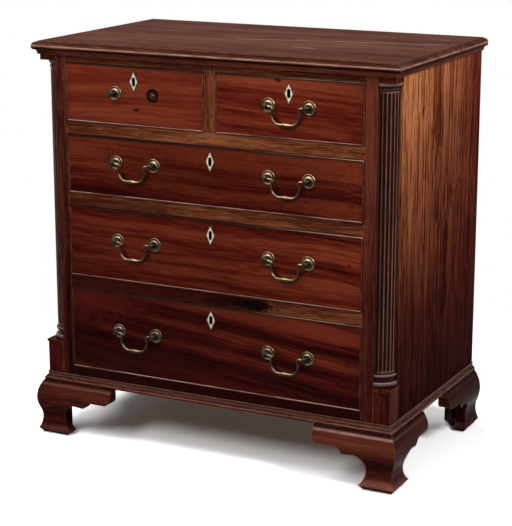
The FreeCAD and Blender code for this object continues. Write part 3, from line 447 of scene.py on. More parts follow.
def front_marks(f, colour, drawer, strength):
    """A drawer front's stains, the painted shadows of its bails, and the dark joint round its
    inlay.
    """
    for stain in STAINS[drawer]:
        colour = f.tint(colour, f.spot(*stain), STAIN, strength)
    height, bails = HANDLES[drawer]
    for centre in bails.values():
        # Each bail's painted shadow on the front
        colour = f.tint(colour, bail_shadow(f, centre + BAIL_SHADOW_SIDE, height - BAIL_SHADOW_DROP), DIRT_AND_SHADE, 0.8)
    return f.tint(colour, f.span(from_inlay(f, drawer), 1.20, 1.08), DIRT_AND_SHADE, 0.9)


def short_left_marks(f, colour):
    """The dark round that the lost rose left, and the stub's ring in it."""
    x, z = LONE_HANDLE + POST_HALF, HANDLES["short_left"][0]
    ghost = f.spot(x, z, GHOST_RADIUS, GHOST_RADIUS, 0.16)
    ring = f.math("SUBTRACT", *(f.spot(x, z, radius, radius, 0.2) for radius in STUB_RING))
    colour = f.tints(colour, (ghost, (22, 5, 5), 0.97), (ring, (96, 62, 50), 0.5))
    return front_marks(f, colour, "short_left", 0.85)


def short_right_marks(f, colour):
    """A darker right end."""
    colour = f.tint(colour, f.span(f.x, 0.17, 0.30), (56, 8, 7), 0.25)
    return front_marks(f, colour, "short_right", 0.8)


def upper_marks(f, colour):
    """A darker heart."""
    colour = f.tint(colour, f.spot(5.0, 575.0, 230.0, 80.0, 1.2), (50, 6, 4), 0.45)
    return front_marks(f, colour, "upper", 0.8)


def middle_marks(f, colour):
    return front_marks(f, colour, "middle", 0.75)


def lower_marks(f, colour):
    """A lighter upper left corner."""
    colour = f.tint(colour, f.spot(-285.0, 330.0, 110.0, 55.0, 1.2), (104, 34, 28), 0.35)
    return front_marks(f, colour, "lower", 0.8)


def line_mask(f, start, end, half):
    """A thin straight mark on the top between two (x, y) points, broken along its length."""
    (x0, y0), (x1, y1) = start, end
    length = math.hypot(x1 - x0, y1 - y0)
    ux, uy = (x1 - x0) / length, (y1 - y0) / length
    dx = f.math("SUBTRACT", f.x, x0 * MM)
    dy = f.math("SUBTRACT", f.y, y0 * MM)
    run = f.math("ADD", f.both(dx, ux), f.both(dy, uy))
    aside = f.math("SUBTRACT", f.both(dx, -uy), f.both(dy, -ux))
    wander = f.span(f.noise(f.place, 9.0), 0.3, 0.7, -LINE_WANDER * MM, LINE_WANDER * MM)
    aside = f.math("ABSOLUTE", f.math("ADD", aside, wander))
    near = f.span(aside, half * MM, half * MM * 0.4)
    last = f.span(run, length * MM, (length - LINE_END) * MM)
    inside = f.both(f.span(run, 0.0, LINE_END * MM), last)
    broken = f.span(f.noise(f.place, 26.0), 0.35, 0.55, 0.55, 1.0)
    return f.both(f.both(near, inside), broken)


def top_marks(f, colour):
    """The long shrinkage crack across the top with a painted highlight beside it, a few scratches,
    and the edge's painted highlight, dirt and painted shade.
    """
    rim = f.span(f.up, 0.97, 0.85)
    nose = f.both(f.band(f.z, *TOP_NOSE, 0.8), f.broken(30.0, 0.4))
    scratches = [
        (line_mask(f, *scratch, 1.9), (190, 162, 142), 0.65) for scratch in TOP_SCRATCHES
    ]
    return f.tints(
        colour,
        (line_mask(f, *TOP_CRACK, 2.4), (26, 11, 8), 0.85),
        # A painted highlight beside the crack
        (line_mask(f, *CRACK_EDGE, 2.2), (196, 166, 146), 0.8),
        *scratches,
        # Dirt and painted shade in the quirk, a painted highlight on the nose, painted shade in the
        # cove below
        (f.both(f.band(f.z, *TOP_QUIRK, 0.5), rim), DIRT_AND_SHADE, 0.9),
        (f.both(nose, rim), (190, 150, 132), 0.65),
        (f.both(f.band(f.z, *TOP_COVE, 1.2), rim), DIRT_AND_SHADE, 0.9),
    )


def top_fade(f, colour, tone):
    """The top's face dulled by use, and its moulded edge left darker and redder."""
    edge = f.toned(tone, ((32, 10, 8), (82, 40, 31), (136, 88, 72)))
    return f.mix(f.span(f.up, 0.85, 0.97), edge, colour)


def side_fade_and_light(f, colour, tone):
    """The side paler towards its upper front: partly bleached by the sun, partly a painted pool of
    light.
    """
    ahead = f.span(f.y, 0.24, -0.17)
    above = f.span(f.z, 0.27, 0.75)
    drift = f.span(f.noise(f.place, 3.2), 0.25, 0.75, -0.14, 0.14)
    share = f.both(f.math("ADD", ahead, drift), above)
    bleached_and_lit = f.toned(tone, ((90, 34, 17), (156, 82, 47), (204, 134, 87)))
    return f.mix(f.span(share, 0.0, 0.95), colour, bleached_and_lit)


def side_marks(f, colour):
    """Small knocks in the side."""
    knocks = f.span(f.stretched(f.place, (110.0, 110.0, 60.0), 1.0), 0.25, 0.17)
    return f.tint(colour, knocks, DIRT_AND_SHADE, 0.8)


def column_light_and_wear(f, colour, tone):
    """The flutes left dark, the fillets paler, rubbed and with a painted highlight where they face
    right, and painted highlights on the base's rounds and the capital.
    """
    across = f.math("SUBTRACT", f.math("ABSOLUTE", f.x), COLUMN_X * MM)
    back = f.math("SUBTRACT", f.y, COLUMN_Y * MM)
    radius = f.distance(across, back)
    shaft = f.band(f.z, BASE_TOP, CAPITAL_FOOT, 1.0)
    fillets = f.both(f.span(radius, *(reach * MM for reach in FILLET_REACH)), shaft)
    rubbed_and_lit = f.toned(tone, ((62, 28, 21), (112, 68, 54), (164, 120, 102)))
    # Fillets paler: rubbed, and a painted highlight stronger where they face right
    colour = f.mix(f.both(fillets, f.span(f.aside, 0.1, 0.7, 0.35, 0.95)), colour, rubbed_and_lit)
    swelling = f.span(radius, *(reach * MM for reach in SWELLING_REACH))
    swelling = f.both(swelling, f.math("SUBTRACT", 1.0, shaft))
    capital = f.band(f.z, CAPITAL_TOP - 6.0, CAPITAL_TOP + 1.0, 1.5)
    # Painted highlights on the base's rounds where they face up, and on the capital, most on the
    # right one
    return f.tints(
        colour,
        (f.both(swelling, f.span(f.up, -0.2, 0.9)), (176, 146, 140), 0.75),
        (f.both(capital, f.span(f.x, 0.0, 0.36, 0.2, 1.0)), (176, 146, 128), 0.6),
    )


def stile_marks(f, colour):
    """The right-hand stile lighter and browner in its upper part."""
    browned = f.both(f.span(f.x, 0.2, 0.25), f.span(f.z, 0.40, 0.75))
    return f.tint(colour, browned, (102, 48, 27), 0.4)


def back_marks(f, colour):
    """The back boards' joints, dark with dust."""
    across = f.math("ABSOLUTE", f.x)
    from_joint = f.math("PINGPONG", across, BACK_PITCH / 2 * MM)
    joint = f.both(f.span(from_joint, 2.5 * MM, 0.8 * MM), f.span(across, 0.35, 0.34))
    return f.tint(colour, joint, DIRT_AND_SHADE, 0.9)


def rail_marks(f, colour):
    """Two rails stained at their left, the lower one burnt, and the head and foot rails dark."""
    shake = f.span(f.noise(f.place, 20.0), 0.3, 0.7, -0.05, 0.05)
    shaken = f.math("ADD", f.x, shake)
    foot = f.span(f.z, 0.30, 0.25)
    lower = f.both(f.span(f.z, 0.350, 0.345), f.math("MAXIMUM", f.span(shaken, 0.13, 0.05), foot))
    upper = f.both(f.band(f.z, 455.0, 505.0, 5.0), f.span(shaken, 0.02, -0.12))
    head = f.span(f.z, 0.774, 0.778)
    return f.tints(
        colour,
        (lower, (44, 9, 8), 0.9),
        (upper, (40, 9, 8), 0.7),
        (head, (38, 15, 10), 0.55),
        (foot, (26, 5, 5), 0.8),
        (f.spot(55.0, 331.0, 70.0, 9.0, 0.7), (12, 4, 4), 0.75),
        (f.spot(98.0, 330.0, 34.0, 12.0, 0.7), (10, 3, 3), 0.95),
    )


def base_marks(f, colour):
    """The base moulding's cove paler and greyer in front as a painted sheen, its bead and lip
    rubbed pale with a painted highlight, and dirt and painted shade in its quirks.
    """
    ahead = f.span(f.math("ABSOLUTE", f.aside), 0.6, 0.3)
    broken = f.broken(30.0, 0.4)
    return f.tints(
        colour,
        # Painted sheen on the cove, painted highlights on bead and lip, painted shade in the quirks
        (f.both(f.band(f.z, *BASE_COVE, 1.0), ahead), (100, 76, 62), 0.3),
        (f.both(f.band(f.z, *BASE_BEAD, 0.7), broken), (156, 98, 74), 0.5),
        *((f.band(f.z, *quirk, 0.5), DIRT_AND_SHADE, 0.95) for quirk in BASE_QUIRKS),
        (f.both(f.band(f.z, *BASE_LIP, 0.3), broken), (150, 112, 92), 0.5),
    )


def foot_light_and_wear(strength):
    """A foot's bulge, shoulder and toe made pale, rubbed and a painted highlight, its waist and
    right side painted shade, and its joint dark with dirt and painted shade.
    """
    def add(f, colour):
        ahead = f.span(f.ahead, -0.2, -0.6, 0.35, 1.0)
        broken = f.broken(40.0, 0.5)
        shoulder = f.both(f.both(f.band(f.z, *FOOT_SHOULDER, 2.2), ahead), broken)
        # Painted highlights on bulge, shoulder and toe, stronger where they face forward; painted
        # shade on the waist and right side
        return f.tints(
            colour,
            (f.both(f.band(f.z, *FOOT_BULGE, 14.0), ahead), (134, 74, 54), 0.55 * strength),
            (shoulder, (226, 180, 164), 0.8 * strength),
            (f.both(f.band(f.z, *FOOT_TOE, 4.0), broken), (170, 116, 100), 0.7 * strength),
            (f.band(f.z, *FOOT_WAIST, 12.0), (20, 5, 7), 0.5),
            (f.span(f.aside, 0.3, 0.7), (34, 8, 12), 0.5),
            (f.band(f.z, *FOOT_JOINT, 1.2), DIRT_AND_SHADE, 0.92),
        )
    return add


def bead_light_and_wear(f, colour):
    """The cockbead's lower strips given a painted highlight where they face up, with wear, its
    upper ones painted shadow but highlighted at their right, and painted shade underneath.
    """
    broken = f.span(f.stretched(f.place, (9.0, 1.0, 40.0), 4.0, 0.6), 0.36, 0.62, 0.15, 1.0)
    foot, head = 0.0, 0.0
    for low, high in sorted({(low, high) for _, _, low, high in FRONTS.values()}):
        foot = f.math("MAXIMUM", foot, f.band(f.z, low - 1.0, low + 4.0, 0.5))
        head = f.math("MAXIMUM", head, f.band(f.z, high - 4.0, high + 1.0, 0.5))
    rubbed_and_lit = f.both(f.span(f.up, 0.1, 0.8), broken)
    nose = f.both(f.span(f.up, -0.1, 0.5), f.span(f.x, 0.08, 0.28))
    # Painted highlight on the lower strips, painted shadow on the upper ones with a painted
    # highlight at their right, painted shade underneath
    return f.tints(
        colour,
        (f.both(rubbed_and_lit, foot), (206, 172, 156), 0.85),
        (head, DIRT_AND_SHADE, 0.75),
        (f.both(f.both(head, broken), nose), (192, 158, 138), 0.75),
        (f.span(f.up, -0.3, -0.8), DIRT_AND_SHADE, 0.85),
    )


def brass(name, plate):
    """Old brass, brown with patina in its hollows, with a painted highlight where it faces up and
    painted shade underneath.

    The lower and the left-hand handles are darker, partly tarnish and partly painted shade. plate
    tells that the piece has a rose, whose face gets a painted highlight and whose post a painted
    dark reflection.
    """
    f = Finish(name)
    cloud = f.noise(f.place, 90.0, 4.0, 0.6)
    speck = f.noise(f.place, 700.0, 3.0, 0.6)
    # A painted highlight where the brass faces up, painted shade where it faces down
    lit = f.math("ADD", f.up, f.span(cloud, 0.3, 0.7, -0.15, 0.15))
    stops = [(0.0, (12, 8, 6)), (0.42, (54, 38, 23)), (0.62, (104, 82, 50)), (0.9, (198, 174, 122))]
    colour = f.ramp(f.span(lit, -0.6, 0.9), stops)
    if plate:
        # The rose's face given a painted highlight, its post darkened as a painted dark reflection
        face = f.span(f.y, (FRONT - 2.6) * MM, (FRONT - 1.8) * MM)
        post = f.span(f.y, (FRONT - 1.9) * MM, (FRONT - 3.2) * MM)
        colour = f.tints(
            colour,
            (f.both(face, f.span(lit, -0.1, 0.5)), (204, 174, 142), 0.75),
            (post, (18, 11, 8), 0.88),
        )
    # Lower and left-hand handles darker: partly tarnish, partly painted shade
    kept = f.both(f.span(f.z, 0.20, 0.62, 0.55, 1.0), f.span(f.x, -0.28, 0.10, 0.82, 1.0))
    colour = f.shaded(colour, kept)
    colour = f.mix(f.span(speck, 0.60, 0.72, 0.0, 0.5), colour, srgb(50, 35, 20))
    colour = f.tint(colour, f.crevices(7.0 * MM), (20, 13, 9), 0.92)
    f.shader.inputs["Metallic"].default_value = 1.0
    f.shader.inputs["Coat Weight"].default_value = 0.15
    f.shader.inputs["Coat Roughness"].default_value = 0.2
    roughness = f.span(cloud, 0.3, 0.7, 0.50, 0.34)
    return f.finish(colour, roughness, f.math("ADD", cloud, speck), 0.12, 0.5 * MM)


def bone(name, drawer):
    """Old bone, dark at the rim of the diamond, with painted shade on the walls of the keyhole."""
    f = Finish(name)
    cloud = f.noise(f.place, 120.0, 4.0, 0.6)
    lines = f.stretched(f.place, (900.0, 900.0, 90.0), 2.0)
    stops = [(0.3, (190, 172, 138)), (0.6, (222, 211, 184)), (0.8, (236, 229, 210))]
    colour = f.ramp(cloud, stops)
    colour = f.mix(f.span(lines, 0.58, 0.70, 0.0, 0.35), colour, srgb(150, 118, 84))
    colour = f.tints(
        colour,
        # Painted shade on the keyhole's walls, and a dark rim to the diamond
        (f.span(f.math("ABSOLUTE", f.ahead), 0.8, 0.4), (22, 12, 9), 1.0),
        (f.span(from_inlay(f, drawer), 0.80, 0.92), (40, 20, 14), 0.85),
    )
    f.shader.inputs["Specular IOR Level"].default_value = 0.2
    return f.finish(colour, f.span(cloud, 0.3, 0.7, 0.5, 0.36), lines, 0.05, 0.3 * MM)


def iron(name):
    """Dark iron with a little rust."""
    f = Finish(name)
    cloud = f.noise(f.place, 60.0, 5.0, 0.65)
    colour = f.ramp(cloud, [(0.35, (42, 38, 36)), (0.55, (78, 72, 66)), (0.72, (104, 68, 46))])
    f.shader.inputs["Metallic"].default_value = 0.85
    return f.finish(colour, f.span(cloud, 0.3, 0.7, 0.38, 0.62), cloud, 0.15, 0.5 * MM)


def rows_of(length, count):
    """The numbers of points that were made row by row."""
    return [list(range(i * length, (i + 1) * length)) for i in range(count)]


def walls(rows):
    """Faces between rows of points, each row a closed ring."""
    faces = []
    for row, following in zip(rows, rows[1:]):
        for j in range(len(row)):
            k = (j + 1) % len(row)
            faces.append([row[j], following[j], following[k], row[k]])
    return faces


def turned_over(faces):
    """The same faces, seen from their other side."""
    return [[face[0], *face[:0:-1]] for face in faces]


def trimmed(faces):
    """Faces without repeated corners, and without those that have shrunk to a line."""
    kept = [list(dict.fromkeys(face)) for face in faces]
    return [face for face in kept if len(face) > 2]


class Shape:
    """Corners and faces of a piece in millimetres, built up from turned, swept and plain forms."""

    def __init__(self):
        self.points = []
        self.faces = []

    def add(self, points, faces):
        first = len(self.points)
        self.points += [Vector(point) for point in points]
        self.faces += [[first + i for i in face] for face in faces]

    def turned(self, profile, place, steps):
        """A full turn of (radius, along) points that begin and end on the axis."""
        points, rows = [], []
        for radius, distance in profile:
            first = len(points)
            count = 1 if radius == 0 else steps
            points += [place(radius, distance, 2 * math.pi * i / steps) for i in range(count)]
            rows.append([first + i % count for i in range(steps)])
        self.add(points, trimmed(turned_over(walls(rows))))

    def swept(self, path, radii, steps):
        """A round rod along points in the plane of the drawer front."""
        points = []
        out = Vector((0, -1, 0))
        for i, at in enumerate(path):
            before, after = path[max(i - 1, 0)], path[min(i + 1, len(path) - 1)]
            side = (after - before).normalized().cross(out)
            for j in range(steps):
                turn = 2 * math.pi * j / steps
                points.append(at + (side * math.cos(turn) + out * math.sin(turn)) * radii[i])
        rows = rows_of(steps, len(path))
        self.add(points, walls(rows) + [rows[0], rows[-1][::-1]])

    def block(self, low, high):
        """A box between two corners."""
        faces = [(0, 1, 3, 2), (4, 6, 7, 5), (0, 4, 5, 1), (2, 3, 7, 6), (0, 2, 6, 4), (1, 5, 7, 3)]
        self.add(list(itertools.product(*zip(low, high))), faces)

    def mirrored(self):
        """The same piece on the other side of the chest."""
        made = Shape()
        made.points = [Vector((-p.x, p.y, p.z)) for p in self.points]
        made.faces = [face[::-1] for face in self.faces]
        return made

    def piece(self, name, material, body, node, slot):
        """Makes the piece, rides it on its body and lets it stand for its node."""
        mesh = bpy.data.meshes.new(name)
        mesh.from_pydata([p * MM for p in self.points], [], self.faces)
        mesh.validate()
        mesh.shade_smooth()
        mesh.set_sharp_from_angle(angle=math.radians(SHARP_ANGLE))
        mesh.materials.append(material)
        made = bpy.data.objects.new(name, mesh)
        bpy.context.scene.collection.objects.link(made)
        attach(made, body)
        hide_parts(node)


def arc(centre, radius_x, radius_y, start, end, steps):
    """Points of a round stretch, in degrees."""
    x, y = centre
    turns = [math.radians(start + (end - start) * i / steps) for i in range(steps + 1)]
    return [(x + radius_x * math.cos(turn), y + radius_y * math.sin(turn)) for turn in turns]


def on_column(radius, turn, z):
    """A place on the right-hand column, at a turn from the front towards the side."""
    return (COLUMN_X + radius * math.sin(turn), COLUMN_Y - radius * math.cos(turn), z)


def quarter(section):
    """A quarter turn of a closed (radius, z) section, whose points on the axis are shared."""
    points, rows = [], []
    for i in range(COLUMN_STEPS + 1):
        row = []
        for j, (radius, z) in enumerate(section):
            if radius == 0 and rows:
                row.append(rows[0][j])
            else:
                row.append(len(points))
                points.append(on_column(radius, QUARTER * i / COLUMN_STEPS, z))
        rows.append(row)
    return points, trimmed(walls(rows)) + [rows[0], rows[-1][::-1]]


def flute(i, z, depth):
    """The hollow of one flute at one height."""
    turn = QUARTER * (i + 0.5) / FLUTES
    normal = Vector((math.sin(turn), -math.cos(turn), 0))
    tangent = Vector((math.cos(turn), math.sin(turn), 0))
    centre = Vector(on_column(COLUMN_RADIUS, turn, z))
    points = []
    for j in range(FLUTE_STEPS + 1):
        t = math.pi * j / FLUTE_STEPS - QUARTER
        points.append(centre + (tangent * math.sin(t) - normal * math.cos(t)) * depth)
    return points


def fluted_shaft():
    """The shaft, whose flutes end in rounds just short of the base and the capital."""
    first, last = BASE_TOP + FLUTE_MARGIN, CAPITAL_FOOT - FLUTE_MARGIN
    turns = [QUARTER * i / FLUTE_END_STEPS for i in range(FLUTE_END_STEPS + 1)]
    ends = [(FLUTE_RADIUS * (1 - math.cos(t)), FLUTE_RADIUS * math.sin(t)) for t in turns]
    levels = [(BASE_TOP, 0.0)]
    levels += [(first + inward, depth) for inward, depth in ends]
    levels += [(last - inward, depth) for inward, depth in reversed(ends)]
    levels += [(CAPITAL_FOOT, 0.0)]
    points = []
    for z, depth in levels:
        points.append((COLUMN_X, COLUMN_Y, z))
        for i in range(FLUTES):
            points.append(on_column(COLUMN_RADIUS, QUARTER * i / FLUTES, z))
            points += flute(i, z, max(depth, FLUTE_LEAST))
        points.append(on_column(COLUMN_RADIUS, QUARTER, z))
    rows = rows_of(len(points) // len(levels), len(levels))
    return points, turned_over(walls(rows)) + [rows[0][::-1], rows[-1]]


def column_shape():
    """The quarter column: a moulded base, a fluted shaft and a capital."""
    radius = COLUMN_RADIUS
    neck = radius + COLUMN_STEP
    torus_top = PLINTH_TOP + 2 * TORUS_HALF
    scotia_top = torus_top + 2 * SCOTIA_HALF
    ring = (neck, scotia_top + BASE_RING_HALF)
    base = [(0, PLINTH_TOP)]
    base += arc((neck + COLUMN_STEP, PLINTH_TOP + TORUS_HALF), COLUMN_STEP, TORUS_HALF, -90, 90, 10)
    base += [(neck, torus_top)]
    base += arc((neck, torus_top + SCOTIA_HALF), -COLUMN_STEP, SCOTIA_HALF, -90, 90, 10)[1:]
    base += arc(ring, COLUMN_STEP, BASE_RING_HALF, -90, 90, 8)[1:]
    base += [(radius, scotia_top + 2 * BASE_RING_HALF), (radius, BASE_TOP), (0, BASE_TOP)]
    neck_top = CAPITAL_FOOT + CAPITAL_NECK
    ring = (radius, CAPITAL_FOOT + CAPITAL_RING_HALF)
    capital = [(0, CAPITAL_FOOT), (radius, CAPITAL_FOOT)]
    capital += arc(ring, CAPITAL_RING_OUT, CAPITAL_RING_HALF, -90, 90, 8)[1:]
    capital += [(radius, neck_top)]
    capital += arc((radius, neck_top + OVOLO_RISE), OVOLO_OUT, OVOLO_RISE, -90, 0, 7)[1:]
    capital += [(radius + OVOLO_OUT, CAPITAL_TOP), (0, CAPITAL_TOP)]
    shape = Shape()
    shape.add(*quarter(base))
    shape.add(*quarter(capital))
    shape.add(*fluted_shaft())
    return shape


# Profiles of the turned brass: radius, and distance out from the drawer front
ROSE = [
    (0, 0), (13.4, 0), (14.0, 0.5), (14.0, 1.0), (13.5, 1.6), (12.6, 1.7), (11.4, 1.25), (9.6, 1.2),
    (8.4, 1.6), (7.6, 2.3), (6.6, 3.0), (5.2, 3.5), (4.2, 3.6), (0, 3.6),
]
BALL = [math.radians(degrees) for degrees in range(36, 160, 12)]
POST = [
    (0, 3.4), (3.9, 3.4), (3.9, 4.4), (3.3, 5.0), (2.9, 6.4), (2.9, 8.4), (3.4, 9.6),
    *((6.6 * math.sin(turn), PULL_OUT - 5.4 * math.cos(turn)) for turn in BALL),
    (1.9, 19.7), (1.2, 19.9), (0, 19.9),
]
SHANK = [(0, -SHANK_END), (SHANK_RADIUS, -SHANK_END), (SHANK_RADIUS, 0.2), (0, 0.2)]
STUB = [(0, -SHANK_END), (SHANK_RADIUS, -SHANK_END), (SHANK_RADIUS, 1.6), (2.6, 2.4), (0, 2.5)]


def posts_shape(drawer):
    """A drawer's posts with their roses, shanks and nuts, and the stub of the lost one."""
    height, bails = HANDLES[drawer]
    whole = (ROSE, POST, SHANK)
    handles = [
        (centre + side, whole, POST_STEPS)
        for centre in bails.values() for side in (-POST_HALF, POST_HALF)
    ]
    if not handles:
        handles = [
            (LONE_HANDLE - POST_HALF, whole, POST_STEPS),
            (LONE_HANDLE + POST_HALF, (STUB,), STUB_STEPS),
        ]
    near = FRONT + SHANK_END
    shape = Shape()
    for x, profiles, steps in handles:
        def place(radius, out, turn):
            return (x + radius * math.cos(turn), FRONT - out, height + radius * math.sin(turn))
        for profile in profiles:
            shape.turned(profile, place, steps)
        low = (x - NUT_HALF, near, height - NUT_HALF)
        shape.block(low, (x + NUT_HALF, near + NUT_THICK, height + NUT_HALF))
    return shape


def bend(corner, before, after, radius, steps):
    """Points round a corner of the bail, on an arc that touches both runs."""
    way_in = (before - corner).normalized()
    way_out = (after - corner).normalized()
    half = way_in.angle(way_out) / 2
    centre = corner + (way_in + way_out).normalized() * (radius / math.sin(half))
    start = corner + way_in * (radius / math.tan(half)) - centre
    end = corner + way_out * (radius / math.tan(half)) - centre
    turn = math.pi - 2 * half
    points = []
    for i in range(steps + 1):
        share = i / steps
        of_start = math.sin((1 - share) * turn) / math.sin(turn)
        of_end = math.sin(share * turn) / math.sin(turn)
        points.append(centre + start * of_start + end * of_end)
    return points


def bail_shape(centre, height):
    """A swan-neck bail hanging from its posts, thickened in the middle of its grip."""
    peg, neck = Vector((-BAIL_PEG, 0, 0)), Vector((-BAIL_NECK, 0, 0))
    foot, middle = Vector((-BAIL_FOOT, 0, -BAIL_DROP)), Vector((0, 0, -BAIL_DROP))
    half = [peg, Vector((-BAIL_SHOULDER, 0, 0))]
    half += bend(neck, peg, foot, BAIL_NECK_BEND, 7)
    half += bend(foot, neck, middle, BAIL_FOOT_BEND, 12)
    half += [Vector((x, 0, -BAIL_DROP)) for x in GRIP_PLACES]
    path = half + [Vector((-p.x, 0, p.z)) for p in reversed(half[:-1])]
    radii = []
    for p in path:
        on_grip = p.z < -BAIL_DROP + 1
        swell = GRIP_SWELL * math.exp(-((p.x / GRIP_REACH) ** 2)) if on_grip else 0.0
        radii.append(BAIL_ROD + swell)
    place = Vector((centre, FRONT - PULL_OUT, height))
    shape = Shape()
    shape.swept([p + place for p in path], radii, ROD_STEPS)
    return shape


def bead_shape(left, right, low, high):
    """A cockbead: four strips with a half-round nose, mitred at the corners of a drawer front."""
    nose = FRONT - BEAD_PROUD + BEAD_HALF
    section = [(0.0, FRONT + BEAD_DEEP), (0.0, nose)]
    section += arc((BEAD_HALF, nose), -BEAD_HALF, -BEAD_HALF, 0, 180, 8)[1:-1]
    section += [(2 * BEAD_HALF, nose), (2 * BEAD_HALF, FRONT + BEAD_DEEP)]
    corners = ((left, low, 1, 1), (right, low, -1, 1), (right, high, -1, -1), (left, high, 1, -1))
    points = []
    for x, z, way_x, way_z in corners:
        points += [(x + inward * way_x, y, z + inward * way_z) for inward, y in section]
    rows = rows_of(len(section), len(corners))
    shape = Shape()
    shape.add(points, walls(rows + rows[:1]))
    return shape


# Dark, middle and light tones of the timbers, as display colours
RED = ((62, 11, 6), (103, 37, 23), (132, 60, 39))
WARM = ((46, 3, 2), (93, 30, 18), (124, 55, 34))
DEEP = ((45, 2, 2), (90, 26, 15), (126, 55, 33))
DUSKY = ((40, 2, 2), (74, 19, 11), (112, 46, 27))
LOW = ((30, 0, 1), (74, 16, 11), (116, 46, 29))
CASE = ((28, 7, 6), (76, 29, 21), (118, 60, 44))
BASE = ((18, 4, 5), (58, 21, 18), (108, 54, 44))
BLOCK = ((20, 3, 3), (60, 17, 13), (94, 36, 27))
STILE = ((26, 6, 6), (70, 27, 21), (108, 52, 41))
FOOT = ((16, 3, 3), (62, 20, 15), (100, 44, 34))
DARK_FOOT = ((12, 2, 3), (48, 13, 11), (84, 34, 28))
RAIL = ((40, 14, 7), (95, 46, 26), (140, 84, 52))
BEAD = ((38, 14, 9), (86, 40, 27), (138, 86, 60))
COLUMN = ((14, 4, 4), (38, 14, 11), (68, 32, 25))
TOP = ((36, 14, 10), (79, 41, 30), (112, 71, 54))
SIDE = ((22, 1, 2), (78, 20, 15), (124, 52, 36))
OAK = ((92, 64, 40), (132, 98, 64), (162, 128, 90))
OLD_OAK = ((60, 38, 25), (97, 66, 44), (128, 93, 64))

# Looks of the solids that stay
# The sides darken steeply towards the floor: partly grime, partly painted shade
SIDE_SET = {
    "figure": (0.55, 30.0), "contrast": 3.0, "worn": 0.6, "dull": 0.55, "shine": 0.003,
    "low": (0.12, 0.015, 0.05), "fade": side_fade_and_light, "marks": side_marks, "shares": STREAKED,
}
looks = {
    "top_board": wood(
        "top_wood", TOP, "X", 1.0, figure=(1.6, 15.0), worn=1.4, dull=0.6, shine=0.008,
        fade=top_fade, marks=top_marks,
    ),
    "bed_moulding": wood("bed_wood", CASE, "turns", 2.0, contrast=1.2, worn=0.9, shine=0.004),
    "side_left": wood("side_left_wood", SIDE, "Z", 3.0, **SIDE_SET),
    "side_right": wood("side_right_wood", SIDE, "Z", 4.0, **SIDE_SET),
    "corner_posts": wood(
        "stile_wood", STILE, "Z", 5.0, figure=(2.0, 50.0), contrast=2.0, shine=0.01,
        low=(0.38, 0.26, 0.30), marks=stile_marks,
    ),
    "front_rails": wood(
        "rail_wood", RAIL, "rails", 6.0, figure=(3.0, 50.0), contrast=1.9, shine=0.008,
        low=(0.6, 0.55, 0.55), marks=rail_marks,
    ),
    "corner_blocks": wood(
        "block_wood", BLOCK, "Z", 7.0, figure=(3.0, 50.0), contrast=1.4, worn=1.0, shine=0.006
    ),
    "base_moulding": wood(
        "base_wood", BASE, "turns", 8.0, figure=(3.0, 50.0), contrast=1.3, worn=1.2, dull=0.24,
        marks=base_marks,
    ),
    "back_boards": wood(
        "back_wood", OLD_OAK, "boards", 9.0, figure=(0.8, 20.0), contrast=1.2, worn=0.3, dull=0.7,
        marks=back_marks,
    ),
    "case_bottom": wood("bottom_wood", OLD_OAK, "X", 10.0, worn=0.3, dull=0.7),
    "runners_and_guides": wood("runner_wood", OAK, "Y", 11.0, worn=0.4, dull=0.65),
    "dustboards": wood("dust_wood", OAK, "X", 12.0, worn=0.2, dull=0.7),
}
for foot, tones, seed, rubbed_and_lit in (
    ("front_left", DARK_FOOT, 13.0, 0.2), ("front_right", FOOT, 15.0, 0.65),
    ("rear_left", DARK_FOOT, 16.0, 0.2), ("rear_right", DARK_FOOT, 17.0, 0.2),
):
    looks[f"foot_{foot}"] = wood(
        f"foot_{foot}_wood", tones, "turns", seed, figure=(3.0, 40.0), contrast=1.8, worn=0.9,
        dull=0.26, shine=0.006, marks=foot_light_and_wear(rubbed_and_lit),
    )

# Tones, seed, contrast, slope, what is left at the left end as painted shade, and marks
front_looks = {
    "short_left": (RED, 21.0, 1.6, 0.0, PLAIN, short_left_marks),
    "short_right": (WARM, 22.3, 2.2, 0.05, PLAIN, short_right_marks),
    "upper": (DUSKY, 24.6, 2.4, 0.02, PLAIN, upper_marks),
    "middle": (DEEP, 25.1, 2.2, 0.03, (0.66, 0.54, 0.60), middle_marks),
    "lower": (LOW, 26.4, 1.9, 0.10, (0.6, 0.5, 0.6), lower_marks),
}
box_wood = wood("drawer_box_wood", OAK, "Y", 31.0, worn=0.3, dull=0.62)
old_iron = iron("old_iron")
for drawer, (tones, seed, contrast, slope, left, marks) in front_looks.items():
    looks[f"{drawer}_drawer_front"] = wood(
        f"{drawer}_front_wood", tones, "X", seed, figure=(1.0, 22.0), contrast=contrast, worn=0.6,
        dull=0.38, low=(0.65, 0.65, 0.65), left=left, marks=marks, shares=SWEPT, slope=slope,
        flecked=0.35,
    )
    looks[f"{drawer}_drawer_box"] = box_wood
    looks[f"{drawer}_escutcheon"] = bone(f"{drawer}_bone", drawer)
    looks[f"{drawer}_lock"] = old_iron
    looks[f"{drawer}_lock_bolt"] = old_iron

for node, material in looks.items():
    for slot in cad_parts[node].material_slots:
        slot.material = material

# Pieces that stand for plainer solids
column_wood = wood(
    "column_wood", COLUMN, "Z", 14.0, figure=(2.0, 60.0), worn=0.5, dull=0.28, shine=0.05,
    fade=column_light_and_wear, grime_and_shade=0.5,
)
